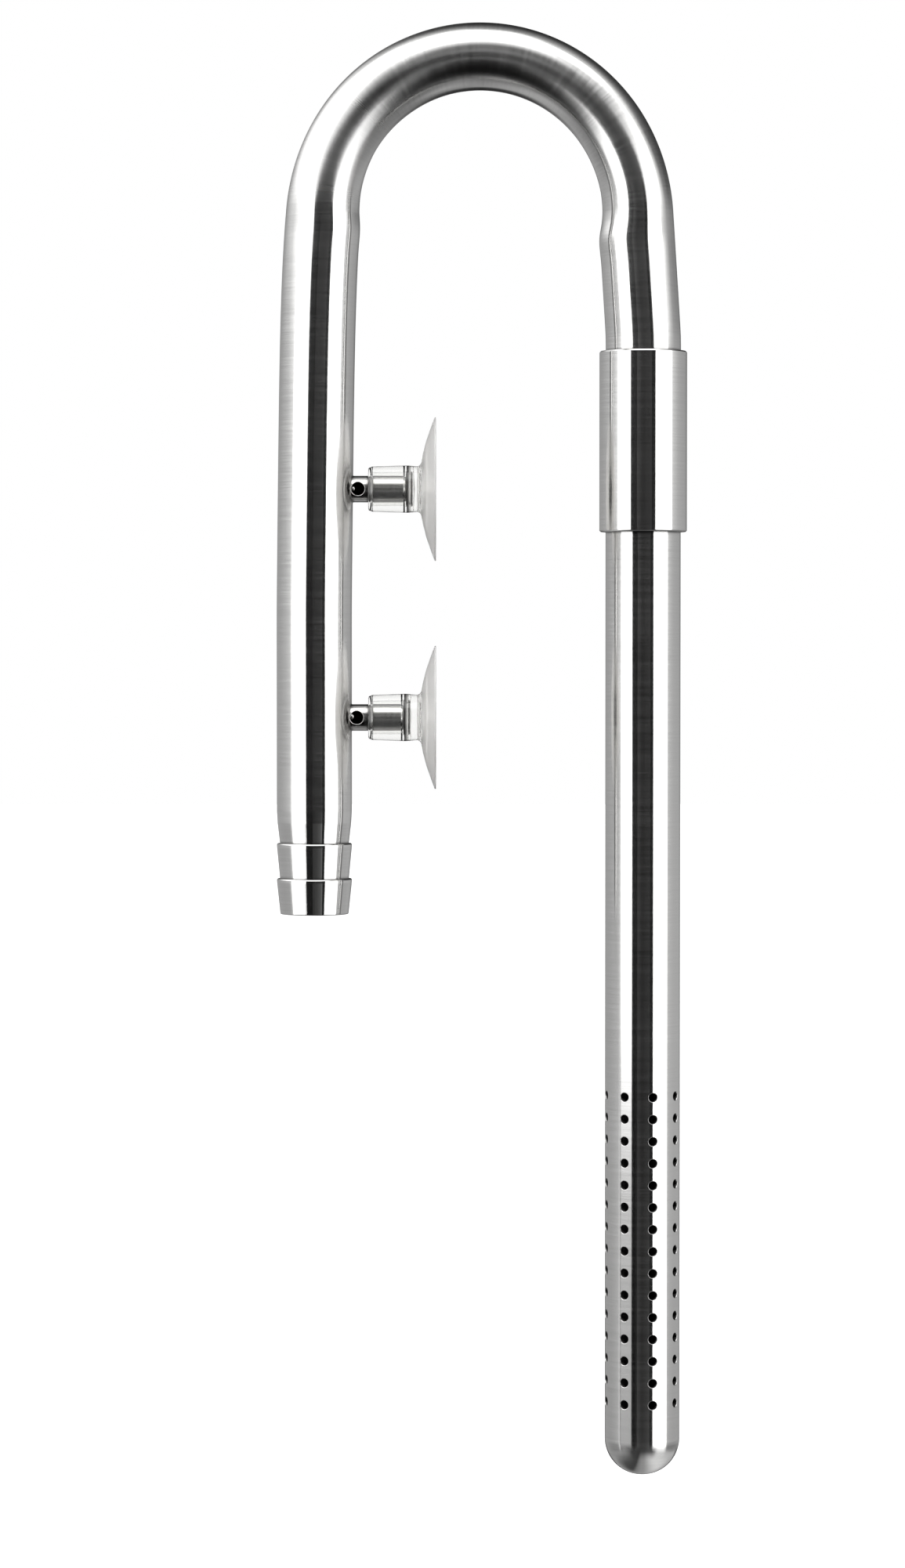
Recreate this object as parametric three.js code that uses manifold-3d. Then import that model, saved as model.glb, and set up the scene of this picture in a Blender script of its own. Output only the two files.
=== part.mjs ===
// Stainless-steel intake pipe for an aquarium canister filter, hung over the rim of a glass tank.
// An inverted-U hook pipe carries a hose barb on its outer leg and a removable perforated strainer on its inner leg.
// The strainer plugs into a slip coupling that is sealed by O-rings, and two soft clear suction cups on welded pegs hold the outer leg to the glass.
//
// Frame, millimetres: origin at the centre of the upper suction cup's contact face, on the axis of its peg.
// +X points through the glass towards the inside of the tank, +Z is up, Y = 0 is the plane of the two legs.
import * as THREE from "three";
import { mergeVertices } from "three/addons/utils/BufferGeometryUtils.js";
import Module from "manifold-3d";

// ---------- driving dimensions ----------
const TUBE_R = 8.5; // outside radius of every tube
const WALL = 1.0; // tube wall
const BORE_R = TUBE_R - WALL;

const BEND_X = 9.98; // centre of the hook's bend
const BEND_Z = 62.27;
const BEND_R = 34.36; // radius of the bend, to the axis of the unflattened tube
const BEND_OPEN_INNER = 0.8; // springback: how much wider the bend is where it meets each leg
const BEND_OPEN_OUTER = 1.02;
const BEND_BULGE = 1.02; // growth of the tube across the bend's plane
// The bend flattens the tube on its inner side. Height against thickness in the bend's plane.
const THICK_INNER_LEG = [
  [50.6, 17],
  [55.5, 17.2],
  [57, 17.05],
  [58.5, 16.7],
  [60, 16.3],
  [62.4, 16],
  [66.8, 15.65],
  [71.2, 15.5],
  [79, 15.3],
  [88, 15.18],
];
const THICK_OUTER_LEG = [
  [53.6, 17],
  [58, 17.1],
  [59.9, 16.95],
  [62.3, 16.6],
  [66.8, 16.1],
  [71.2, 15.77],
  [75.3, 15.5],
  [79, 15.4],
  [84, 15.33],
  [88, 15.18],
];

const OUTER_LEG_X = -27.58; // axis of the outer (hose) leg once it runs straight
const OUTER_LEG_STRAIGHT_Z = -31; // below this the outer leg is straight
const OUTER_LEG_LEAN = 2.18; // how far the top of the outer leg leans in
const OUTER_LEG_END_Z = -72.9; // butt joint with the hose barb
const INNER_LEG_X = 46.9; // axis of the inner leg, coupling and strainer
const INNER_LEG_STRAIGHT_Z = 33; // below this the inner leg is straight
const INNER_LEG_LEAN = 1.76;

const BARB_REGISTER = 4; // length of the barb's spigot inside the tube
const BARB_NECK_R = 7.8;
const BARB_RIM_R = 8.52;
const BARB_NOSE_R = 7.72;
const BARB_1_Z = -80.25; // square shoulders of the two barbs
const BARB_2_Z = -88.25;
const BARB_END_Z = -96.3;

const SLEEVE_TOP_Z = 31.15;
const SLEEVE_LENGTH = 40.85;
const SLEEVE_R = 9.9;
const SLEEVE_BORE_R = 8.62;
const SLEEVE_RIB_R = 7.6; // inner stop rib between the two tube ends
const SLEEVE_RIB = 0.8;
const SLEEVE_MID_Z = SLEEVE_TOP_Z - SLEEVE_LENGTH / 2;
const GROOVE_R = 9.38;
const GROOVE_W = 1.5;
const GROOVE_FROM_MID = [17, 9]; // O-ring grooves, each side of the stop rib
const TUBE_END_GAP = 0.8; // from the middle of the rib to each tube end
const RING_IN_R = 8.6;
const RING_OUT_R = 9.3;
const RING_HALF_W = 0.5;

const STRAINER_JOINT_Z = -214.15; // butt joint between strainer tube and end cap
const STRAINER_END_Z = -224.1;
const HOLE_R = 1.0;
const HOLE_ROWS = 15;
const HOLE_PITCH = 4.985;
const HOLE_TOP_Z = -137.36;
const HOLE_COLUMNS = 8;
const HOLE_PHASE_DEG = 14;

const UPPER_PEG_Z = 0;
const LOWER_PEG_Z = -51.7;
const PEG_R = 3;
const PEG_BORE_R = 2;
const FLANGE_R = 3.9;
const FLANGE = 1.25; // thickness
const UPPER_FLANGE_X = -6.75; // back of each peg's flange
const LOWER_FLANGE_X = -7.3;
const VENT_R = 1.45; // drilled through one side of the hollow peg, so that it drains
const VENT_FROM_PIPE = 1.15;

const CUP_R = 16.2;
const SOCKET_R = 5.2;
const SOCKET_BORE_R = 3.8; // the shank stands clear in it
const SOCKET_LIP_R = PEG_R + 0.12; // the mouth's inward lip runs on the shank
const SOCKET_LIP = 0.9;
const SOCKET_END_X = -15.3;

const AROUND = 28; // facets round turned parts
const AROUND_TUBE = 24; // facets round the tubes

// ---------- solids ----------
const wasm = await Module();
wasm.setup();

// A closed three.js geometry as a solid, turned right side out.
function solid(geometry) {
  const bare = geometry.clone();
  for (const name of Object.keys(bare.attributes))
    if (name !== "position") bare.deleteAttribute(name);
  const merged = mergeVertices(bare, 1e-4);
  const index = merged.index.array;
  const kept = [];
  for (let i = 0; i < index.length; i += 3) {
    const [a, b, c] = [index[i], index[i + 1], index[i + 2]];
    if (a !== b && b !== c && a !== c) kept.push(a, b, c);
  }
  const make = (tris) =>
    new wasm.Manifold(
      new wasm.Mesh({
        numProp: 3,
        vertProperties: new Float32Array(merged.attributes.position.array),
        triVerts: new Uint32Array(tris),
      }),
    );
  const made = make(kept);
  if (made.volume() > 0) return made;
  const turned = [];
  for (let i = 0; i < kept.length; i += 3)
    turned.push(kept[i], kept[i + 2], kept[i + 1]);
  return make(turned);
}

function geometryOf(manifold) {
  const mesh = manifold.getMesh();
  const positions = new Float32Array(mesh.numVert * 3);
  for (let i = 0; i < mesh.numVert; i++)
    for (let k = 0; k < 3; k++)
      positions[i * 3 + k] = mesh.vertProperties[i * mesh.numProp + k];
  const geometry = new THREE.BufferGeometry();
  geometry.setAttribute("position", new THREE.BufferAttribute(positions, 3));
  geometry.setIndex(
    new THREE.BufferAttribute(new Uint32Array(mesh.triVerts), 1),
  );
  geometry.computeVertexNormals();
  return geometry;
}

// A profile of [radius, height] pairs turned about the local Z axis.
function turned(profile, around = AROUND) {
  const closed = profile[0][0] > 1e-6 || profile[profile.length - 1][0] > 1e-6;
  const points = profile.map(([r, h]) => new THREE.Vector2(r, h));
  if (closed) points.push(points[0].clone());
  const lathe = new THREE.LatheGeometry(points, around);
  lathe.rotateX(Math.PI / 2); // lathe axis +Y becomes +Z
  return lathe;
}

function rod(radius, from, to, around) {
  const length = from.distanceTo(to);
  const geometry = new THREE.CylinderGeometry(radius, radius, length, around);
  geometry.applyQuaternion(
    new THREE.Quaternion().setFromUnitVectors(
      new THREE.Vector3(0, 1, 0),
      to.clone().sub(from).normalize(),
    ),
  );
  const middle = from.clone().add(to).multiplyScalar(0.5);
  geometry.translate(middle.x, middle.y, middle.z);
  return geometry;
}

// ---------- hook pipe ----------
// Axis of the outer leg: upright low down, leaning in a little towards the bend.
function outerLegX(z) {
  if (z <= OUTER_LEG_STRAIGHT_Z) return OUTER_LEG_X;
  const t = (z - OUTER_LEG_STRAIGHT_Z) / (BEND_Z - OUTER_LEG_STRAIGHT_Z);
  const lean = (Math.sqrt(t * t + 0.0064) - 0.08) / (Math.sqrt(1.0064) - 0.08);
  return OUTER_LEG_X + OUTER_LEG_LEAN * (0.48 * lean + 0.52 * t ** 6);
}

// Axis of the inner leg: it leans in too, and is upright before it enters the coupling.
function innerLegX(z) {
  if (z <= INNER_LEG_STRAIGHT_Z) return INNER_LEG_X;
  const t = (z - INNER_LEG_STRAIGHT_Z) / (BEND_Z - INNER_LEG_STRAIGHT_Z);
  const lean = (Math.sqrt(t * t + 0.004) - Math.sqrt(0.004)) /
    (Math.sqrt(1.004) - Math.sqrt(0.004));
  return INNER_LEG_X - INNER_LEG_LEAN * lean;
}

// Radius of the bend at an angle from the inner leg's end (0) to the outer leg's (pi).
function bendRadius(a) {
  const open = a < Math.PI / 2 ? BEND_OPEN_INNER : BEND_OPEN_OUTER;
  return BEND_R + open * (1 - Math.sin(a)) ** 3;
}

function fromTable(table, z) {
  if (z <= table[0][0]) return table[0][1];
  for (let i = 1; i < table.length; i++)
    if (z <= table[i][0]) {
      const f = (z - table[i - 1][0]) / (table[i][0] - table[i - 1][0]);
      return table[i - 1][1] + f * (table[i][1] - table[i - 1][1]);
    }
  return table[table.length - 1][1];
}

const INNER_LEG_END_Z = SLEEVE_MID_Z + TUBE_END_GAP;

// Centreline of the hook, as a chain of stations that are close together only where it bends.
class HookAxis extends THREE.Curve {
  constructor() {
    super();
    this.stations = [];
    for (const z of [OUTER_LEG_END_Z, -31, -6, 14, 30, 42, 51, 56, 59.5])
      this.stations.push([outerLegX(z), z]);
    const steps = 18;
    for (let i = 0; i <= steps; i++) {
      const a = Math.PI * (1 - i / steps);
      this.stations.push([
        BEND_X + bendRadius(a) * Math.cos(a),
        BEND_Z + bendRadius(a) * Math.sin(a),
      ]);
    }
    for (const z of [60, 57.5, 55, 50, 42, INNER_LEG_STRAIGHT_Z, INNER_LEG_END_Z])
      this.stations.push([innerLegX(z), z]);
  }
  getPoint(t, target = new THREE.Vector3()) {
    const last = this.stations.length - 1;
    const at = Math.min(Math.max(t, 0), 1) * last;
    const i = Math.min(Math.floor(at), last - 1);
    const [a, b] = [this.stations[i], this.stations[i + 1]];
    const f = at - i;
    return target.set(a[0] + (b[0] - a[0]) * f, 0, a[1] + (b[1] - a[1]) * f);
  }
  // A mitred direction at each station, so that the wall keeps its thickness.
  getTangent(t, target = new THREE.Vector3()) {
    const last = this.stations.length - 1;
    const i = Math.round(Math.min(Math.max(t, 0), 1) * last);
    const a = this.stations[Math.max(i - 1, 0)];
    const m = this.stations[i];
    const b = this.stations[Math.min(i + 1, last)];
    if (i === 0 || i === last) return target.set(0, 0, i === 0 ? 1 : -1);
    const before = new THREE.Vector3(m[0] - a[0], 0, m[1] - a[1]).normalize();
    const after = new THREE.Vector3(b[0] - m[0], 0, b[1] - m[1]).normalize();
    return target.copy(before.add(after).normalize());
  }
  getUtoTmapping(u) {
    return u;
  }
}

function ringShape(outer, inner, around) {
  const loop = (r) =>
    Array.from({ length: around }, (_, i) => {
      const a = (2 * Math.PI * i) / around;
      return new THREE.Vector2(r * Math.cos(a), r * Math.sin(a));
    });
  const shape = new THREE.Shape(loop(outer));
  shape.holes.push(new THREE.Path(loop(inner).reverse()));
  return shape;
}

function hookPipe() {
  const axis = new HookAxis();
  const tube = new THREE.ExtrudeGeometry(
    ringShape(TUBE_R, BORE_R, AROUND_TUBE),
    { extrudePath: axis, steps: axis.stations.length - 1 },
  );
  const p = tube.attributes.position;
  for (let i = 0; i < p.count; i++) {
    const [x, y, z] = [p.getX(i), p.getY(i), p.getZ(i)];
    const table = x > BEND_X ? THICK_INNER_LEG : THICK_OUTER_LEG;
    const out = x > BEND_X ? 1 : -1;
    if (z < table[0][0]) continue;
    // how far the point stands outwards of the axis, in the plane of the bend
    const bent = z > BEND_Z;
    const dx = x - BEND_X;
    const dz = z - BEND_Z;
    const rho = bent ? Math.hypot(dx, dz) : Math.abs(dx);
    const axisRho = bent
      ? bendRadius(Math.atan2(dz, dx))
      : Math.abs((out > 0 ? innerLegX(z) : outerLegX(z)) - BEND_X);
    const q = rho - axisRho;
    const thick = fromTable(table, z);
    const moved = axisRho + TUBE_R - ((TUBE_R - q) * thick) / (2 * TUBE_R);
    const grow = 1 + ((BEND_BULGE - 1) * (2 * TUBE_R - thick)) / 1.55;
    if (bent)
      p.setXYZ(i, BEND_X + (dx * moved) / rho, y * grow, BEND_Z + (dz * moved) / rho);
    else p.setXYZ(i, BEND_X + out * moved, y * grow, z);
  }
  return solid(tube);
}

// ---------- hose barb ----------
function hoseBarb() {
  const top = OUTER_LEG_END_Z - 0.05;
  const g = turned([
    [TUBE_R, top],
    [TUBE_R - 0.12, top - 2.6],
    [BARB_NECK_R, BARB_1_Z],
    [BARB_RIM_R - 0.12, BARB_1_Z],
    [BARB_RIM_R, BARB_1_Z - 0.5],
    [BARB_NECK_R, BARB_2_Z],
    [BARB_RIM_R - 0.12, BARB_2_Z],
    [BARB_RIM_R, BARB_2_Z - 0.5],
    [BARB_NOSE_R, BARB_END_Z],
    [BARB_NOSE_R - 1.1, BARB_END_Z],
    [BARB_NOSE_R - 1.3, BARB_END_Z + 0.6],
    [6.4, top + BARB_REGISTER],
    [BORE_R - 0.12, top + BARB_REGISTER],
    [BORE_R - 0.12, top],
  ]);
  g.translate(OUTER_LEG_X, 0, 0);
  return solid(g);
}

// ---------- coupling ----------
function couplingSleeve() {
  const side = (up) => {
    const z = (d) => SLEEVE_MID_Z + up * d;
    const half = SLEEVE_LENGTH / 2;
    const grooves = [...GROOVE_FROM_MID].flatMap((c) => [
      [SLEEVE_BORE_R, z(c + GROOVE_W / 2)],
      [GROOVE_R, z(c + GROOVE_W / 2)],
      [GROOVE_R, z(c - GROOVE_W / 2)],
      [SLEEVE_BORE_R, z(c - GROOVE_W / 2)],
    ]);
    return [
      [SLEEVE_R, z(half - 0.5)],
      [SLEEVE_R - 0.5, z(half)],
      [SLEEVE_BORE_R + 0.3, z(half)],
      [SLEEVE_BORE_R, z(half - 0.5)],
      ...grooves,
      [SLEEVE_BORE_R, z(SLEEVE_RIB / 2)],
      [SLEEVE_RIB_R, z(SLEEVE_RIB / 2)],
    ];
  };
  const g = turned([...side(1), ...side(-1).reverse()]);
  g.translate(INNER_LEG_X, 0, 0);
  return solid(g);
}

function oRing(fromMid) {
  const z = SLEEVE_MID_Z + fromMid;
  const middle = (RING_IN_R + RING_OUT_R) / 2;
  const g = turned(
    [
      [RING_IN_R, z],
      [middle, z + RING_HALF_W],
      [RING_OUT_R, z],
      [middle, z - RING_HALF_W],
    ].reverse(),
    AROUND,
  );
  g.translate(INNER_LEG_X, 0, 0);
  return solid(g);
}

// ---------- strainer ----------
function strainerTube() {
  const top = SLEEVE_MID_Z - TUBE_END_GAP;
  const tube = new THREE.ExtrudeGeometry(
    ringShape(TUBE_R, BORE_R, AROUND_TUBE),
    { depth: top - STRAINER_JOINT_Z, bevelEnabled: false, steps: 1 },
  );
  tube.translate(INNER_LEG_X, 0, STRAINER_JOINT_Z);
  let body = solid(tube);
  for (let row = 0; row < HOLE_ROWS; row++)
    for (let column = 0; column < HOLE_COLUMNS / 2; column++) {
      const a =
        THREE.MathUtils.degToRad(HOLE_PHASE_DEG) +
        (2 * Math.PI * column) / HOLE_COLUMNS;
      const z = HOLE_TOP_Z - HOLE_PITCH * row;
      const reach = new THREE.Vector3(
        Math.sin(a) * (TUBE_R + 2),
        -Math.cos(a) * (TUBE_R + 2),
        0,
      );
      const middle = new THREE.Vector3(INNER_LEG_X, 0, z);
      body = body.subtract(
        solid(
          rod(
            HOLE_R * 1.06, // a hexagon with the round hole's area
            middle.clone().sub(reach),
            middle.clone().add(reach),
            6,
          ),
        ),
      );
    }
  return body;
}

function strainerCap() {
  const top = STRAINER_JOINT_Z - 0.05;
  const straight = 1.6;
  const rise = top - straight - STRAINER_END_Z;
  const outer = [];
  const inner = [];
  const steps = 7;
  for (let i = 0; i <= steps; i++) {
    const a = (Math.PI / 2) * (i / steps);
    outer.push([
      i === steps ? 0 : TUBE_R * Math.pow(Math.cos(a), 0.97),
      top - straight - rise * Math.pow(Math.sin(a), 1.0),
    ]);
    inner.push([
      i === steps ? 0 : BORE_R * Math.pow(Math.cos(a), 0.97),
      top - straight - (rise - WALL) * Math.sin(a),
    ]);
  }
  const g = turned([...inner.reverse(), [BORE_R, top], [TUBE_R, top], ...outer], AROUND_TUBE);
  g.translate(INNER_LEG_X, 0, 0);
  return solid(g);
}

// ---------- pegs and suction cups ----------
function mountPeg(z, flangeBack) {
  const pipeX = outerLegX(z);
  const pipeSide = pipeX + TUBE_R;
  const face = flangeBack + FLANGE;
  // turned about its own axis, with its root left long for the saddle cut
  const root = pipeX + 5.5;
  const g = turned(
    [
      [0, flangeBack - 0.6],
      [PEG_BORE_R, flangeBack - 1.6],
      [PEG_BORE_R, root],
      [PEG_R, root],
      [PEG_R, flangeBack - 0.35],
      [PEG_R - 0.25, flangeBack - 0.3],
      [PEG_R - 0.25, flangeBack],
      [FLANGE_R - 0.2, flangeBack],
      [FLANGE_R, flangeBack + 0.25],
      [FLANGE_R, face - 0.25],
      [FLANGE_R - 0.25, face],
      [0, face],
    ],
    AROUND_TUBE,
  );
  g.rotateY(Math.PI / 2); // local +Z becomes +X
  g.translate(0, 0, z);
  const saddle = rod(
    TUBE_R + 0.12,
    new THREE.Vector3(outerLegX(z - 14), 0, z - 14),
    new THREE.Vector3(outerLegX(z + 14), 0, z + 14),
    48,
  );
  const vent = rod(
    VENT_R,
    new THREE.Vector3(pipeSide + VENT_FROM_PIPE, -5, z),
    new THREE.Vector3(pipeSide + VENT_FROM_PIPE, 0, z),
    10,
  );
  return solid(g).subtract(solid(saddle)).subtract(solid(vent));
}

function suctionCup(z, flangeBack) {
  const face = flangeBack + FLANGE;
  const g = turned(
    [
      [0, face + 0.6],
      [FLANGE_R + 0.14, face + 0.4],
      [FLANGE_R + 0.14, flangeBack - 0.25],
      [SOCKET_BORE_R, flangeBack - 0.6],
      [SOCKET_BORE_R, SOCKET_END_X + SOCKET_LIP],
      [SOCKET_LIP_R, SOCKET_END_X + SOCKET_LIP],
      [SOCKET_LIP_R, SOCKET_END_X],
      [SOCKET_R - 0.55, SOCKET_END_X],
      [SOCKET_R - 0.05, SOCKET_END_X + 0.9],
      [SOCKET_R + 0.15, flangeBack + 0.5],
      [SOCKET_R, -3.8],
      [5.6, -3.3],
      [8.0, -2.7],
      [10.9, -1.95],
      [14.4, -0.85],
      [CUP_R, -0.3],
      [CUP_R, 0],
      [9.6, 0],
      [8.4, -0.55],
      [4.6, -0.6],
      [3.6, 0],
      [0, 0],
    ],
    AROUND,
  );
  g.rotateY(Math.PI / 2);
  g.translate(0, 0, z);
  return solid(g);
}

// ---------- assembly ----------
const steel = () =>
  new THREE.MeshStandardMaterial({
    color: 0xb9b8b5,
    roughness: 0.24,
    metalness: 1,
  });
const turnedSteel = () =>
  new THREE.MeshStandardMaterial({
    color: 0xc4c3c0,
    roughness: 0.16,
    metalness: 1,
  });
const clearPvc = () =>
  new THREE.MeshStandardMaterial({
    color: 0xe6e5df,
    roughness: 0.12,
    metalness: 0,
    transparent: true,
    opacity: 0.4,
  });
const seal = () =>
  new THREE.MeshStandardMaterial({
    color: 0x1c1c1d,
    roughness: 0.6,
    metalness: 0,
  });

const part = new THREE.Group();
function add(name, manifold, material) {
  const mesh = new THREE.Mesh(geometryOf(manifold), material);
  mesh.name = name;
  part.add(mesh);
}

add("hook_pipe", hookPipe(), steel());
add("hose_barb", hoseBarb(), turnedSteel());
add("upper_mount_peg", mountPeg(UPPER_PEG_Z, UPPER_FLANGE_X), turnedSteel());
add("lower_mount_peg", mountPeg(LOWER_PEG_Z, LOWER_FLANGE_X), turnedSteel());
add("upper_suction_cup", suctionCup(UPPER_PEG_Z, UPPER_FLANGE_X), clearPvc());
add("lower_suction_cup", suctionCup(LOWER_PEG_Z, LOWER_FLANGE_X), clearPvc());
add("coupling_sleeve", couplingSleeve(), turnedSteel());
add("hook_side_outer_o_ring", oRing(GROOVE_FROM_MID[0]), seal());
add("hook_side_inner_o_ring", oRing(GROOVE_FROM_MID[1]), seal());
add("strainer_side_inner_o_ring", oRing(-GROOVE_FROM_MID[1]), seal());
add("strainer_side_outer_o_ring", oRing(-GROOVE_FROM_MID[0]), seal());
add("strainer_tube", strainerTube(), steel());
add("strainer_end_cap", strainerCap(), steel());

export default part;
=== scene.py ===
"""Looks for the aquarium filter intake pipe: fine meshes, procedural materials, a plain studio and a camera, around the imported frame."""

import math

import bpy
import numpy as np
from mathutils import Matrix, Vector


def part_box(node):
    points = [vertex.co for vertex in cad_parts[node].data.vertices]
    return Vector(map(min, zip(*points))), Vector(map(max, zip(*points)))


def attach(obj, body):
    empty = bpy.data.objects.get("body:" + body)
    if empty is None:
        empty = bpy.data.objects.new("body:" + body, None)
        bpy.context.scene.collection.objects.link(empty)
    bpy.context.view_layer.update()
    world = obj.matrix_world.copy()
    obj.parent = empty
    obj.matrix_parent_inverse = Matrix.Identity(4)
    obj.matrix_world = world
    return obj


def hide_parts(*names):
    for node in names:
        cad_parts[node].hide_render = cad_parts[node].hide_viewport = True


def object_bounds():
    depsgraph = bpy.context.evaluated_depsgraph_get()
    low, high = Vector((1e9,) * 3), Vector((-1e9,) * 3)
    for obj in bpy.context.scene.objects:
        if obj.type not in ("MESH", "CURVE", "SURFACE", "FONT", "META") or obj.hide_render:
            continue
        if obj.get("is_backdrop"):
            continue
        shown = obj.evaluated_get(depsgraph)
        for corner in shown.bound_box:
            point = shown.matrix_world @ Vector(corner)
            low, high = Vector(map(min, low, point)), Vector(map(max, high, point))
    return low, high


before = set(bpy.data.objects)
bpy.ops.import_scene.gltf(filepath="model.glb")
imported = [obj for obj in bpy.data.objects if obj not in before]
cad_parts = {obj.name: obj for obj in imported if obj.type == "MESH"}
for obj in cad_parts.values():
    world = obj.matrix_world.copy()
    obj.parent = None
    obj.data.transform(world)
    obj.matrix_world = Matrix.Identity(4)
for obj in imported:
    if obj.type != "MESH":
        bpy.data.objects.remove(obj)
cad_low, cad_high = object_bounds()

MM = 0.001

# ---------- dimensions, millimetres, as in the design ----------
TUBE_R, BORE_R = 8.5, 7.5
BEND_X, BEND_Z, BEND_R = 9.98, 62.27, 34.36
BEND_OPEN_INNER, BEND_OPEN_OUTER, BEND_BULGE = 0.8, 1.02, 1.02
THICK_INNER_LEG = [(50.6, 17), (55.5, 17.2), (57, 17.05), (58.5, 16.7), (60, 16.3), (62.4, 16), (66.8, 15.65), (71.2, 15.5), (79, 15.3), (88, 15.18)]
THICK_OUTER_LEG = [(53.6, 17), (58, 17.1), (59.9, 16.95), (62.3, 16.6), (66.8, 16.1), (71.2, 15.77), (75.3, 15.5), (79, 15.4), (84, 15.33), (88, 15.18)]
OUTER_LEG_X, OUTER_LEG_STRAIGHT_Z, OUTER_LEG_LEAN = -27.58, -31, 2.18
INNER_LEG_STRAIGHT_Z, INNER_LEG_LEAN = 33, 1.76
FLANGE_R, FLANGE = 3.9, 1.25
UPPER_FLANGE_X, LOWER_FLANGE_X = -6.75, -7.3
PEG_R, PEG_BORE_R, VENT_R, VENT_FROM_PIPE = 3.0, 2.0, 1.45, 1.15
HOLE_R, HOLE_ROWS, HOLE_PITCH, HOLE_TOP_Z, HOLE_COLUMNS, HOLE_PHASE = 1.0, 15, 4.985, -137.36, 8, 14.0


def low_high(node):
    low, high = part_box(node)
    return [c / MM for c in low], [c / MM for c in high]


_sleeve = low_high("coupling_sleeve")
SLEEVE_X = (_sleeve[0][0] + _sleeve[1][0]) / 2
SLEEVE_TOP, SLEEVE_BOTTOM = _sleeve[1][2], _sleeve[0][2]
SLEEVE_MID = (SLEEVE_TOP + SLEEVE_BOTTOM) / 2
INNER_LEG_X = SLEEVE_X
OUTER_LEG_END = low_high("hook_pipe")[0][2]
INNER_LEG_END = SLEEVE_MID + 0.8
STRAINER_TOP = low_high("strainer_tube")[1][2]
STRAINER_JOINT = low_high("strainer_tube")[0][2]
STRAINER_END = low_high("strainer_end_cap")[0][2]
BARB_END = low_high("hose_barb")[0][2]
UPPER_Z = sum(c[2] for c in low_high("upper_suction_cup")) / 2
LOWER_Z = sum(c[2] for c in low_high("lower_suction_cup")) / 2


# ---------- meshes ----------
class Skin:
    """Sheets of faces with their own corner normals and uvs, welded into one mesh at the end.
    u runs along the piece and v round it. grain is (distance along, R cos, R sin), millimetres, so a pattern laid over it has no seam."""

    def __init__(self):
        self.p, self.g, self.quads, self.n, self.uv = [], [], [], [], []
        # paint layers per point: tint (heat tint on steel, frost on PVC), inside (painted shade: steel flagged here is
        # drawn near-black, as a shaded bore or hole) and satin
        self.paint = {"tint": [], "inside": [], "satin": []}
        self.count = 0

    def sheet(self, p, n, uv, grain, wrap=True, **paint):
        """p and n are rows x columns x 3. uv is rows x (columns + 1) x 2 if the columns wrap round."""
        p, n, uv, grain = (np.asarray(a, float) for a in (p, n, uv, grain))
        rows, cols = p.shape[:2]
        i, j = np.meshgrid(
            np.arange(rows - 1), np.arange(cols if wrap else cols - 1), indexing="ij"
        )
        k = (j + 1) % cols
        quads = np.stack(
            [i * cols + j, i * cols + k, (i + 1) * cols + k, (i + 1) * cols + j], -1
        ).reshape(-1, 4)
        uvs = np.stack([uv[i, j], uv[i, j + 1], uv[i + 1, j + 1], uv[i + 1, j]], -2)
        uvs = uvs.reshape(-1, 4, 2)
        flat, norm = p.reshape(-1, 3), n.reshape(-1, 3)
        norms = norm[quads]
        a = flat[quads[:, 2]] - flat[quads[:, 0]]
        b = flat[quads[:, 3]] - flat[quads[:, 1]]
        if (np.cross(a, b) * norms.sum(1)).sum() < 0:
            quads, uvs, norms = quads[:, ::-1], uvs[:, ::-1], norms[:, ::-1]
        self.p.append(flat)
        self.g.append(grain.reshape(-1, 3))
        for key, values in self.paint.items():
            value = paint.get(key)
            value = 0.0 if value is None else np.asarray(value, float)
            values.append(np.broadcast_to(value, (rows, cols)).reshape(-1))
        self.quads.append(quads + self.count)
        self.uv.append(uvs)
        self.n.append(norms)
        self.count += len(flat)

    def build(self, name):
        p = np.concatenate(self.p)
        _, first, inverse = np.unique(
            np.round(p * 2e3).astype(np.int64), axis=0, return_index=True, return_inverse=True
        )
        inverse = inverse.reshape(-1)
        quads = inverse[np.concatenate(self.quads)]
        uv, n = np.concatenate(self.uv), np.concatenate(self.n)
        same = quads == np.roll(quads, -1, 1)  # a corner met again at the next one
        crossed = (quads[:, 0] == quads[:, 2]) | (quads[:, 1] == quads[:, 3])
        whole = ~same.any(1) & ~crossed
        one = (same.sum(1) == 1) & ~crossed
        faces = [tuple(q) for q in quads[whole].tolist()]
        loop_uv, loop_n = [uv[whole].reshape(-1, 2)], [n[whole].reshape(-1, 3)]
        for f, s, u, m in zip(quads[one], same[one], uv[one], n[one]):
            keep = [c for c in range(4) if not s[c]]
            faces.append(tuple(int(f[c]) for c in keep))
            loop_uv.append(u[keep])
            loop_n.append(m[keep])
        mesh = bpy.data.meshes.new(name)
        mesh.from_pydata((p[first] * MM).tolist(), [], faces)
        layer = mesh.uv_layers.new(name="along")
        layer.data.foreach_set("uv", np.concatenate(loop_uv).astype(np.float32).ravel())
        grain = mesh.attributes.new("grain", "FLOAT_VECTOR", "POINT")
        grain.data.foreach_set(
            "vector", np.concatenate(self.g)[first].astype(np.float32).ravel()
        )
        for key, values in self.paint.items():
            paint = mesh.attributes.new(key, "FLOAT", "POINT")
            paint.data.foreach_set("value", np.concatenate(values)[first].astype(np.float32))
        mesh.polygons.foreach_set("use_smooth", np.ones(len(mesh.polygons), bool))
        mesh.update()
        normals = np.concatenate(loop_n)
        length = np.linalg.norm(normals, axis=1, keepdims=True)
        mesh.normals_split_custom_set((normals / np.maximum(length, 1e-9)).tolist())
        obj = bpy.data.objects.new(name, mesh)
        bpy.context.scene.collection.objects.link(obj)
        return obj


def unit(a):
    return a / np.maximum(np.linalg.norm(a, axis=-1, keepdims=True), 1e-12)


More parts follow.
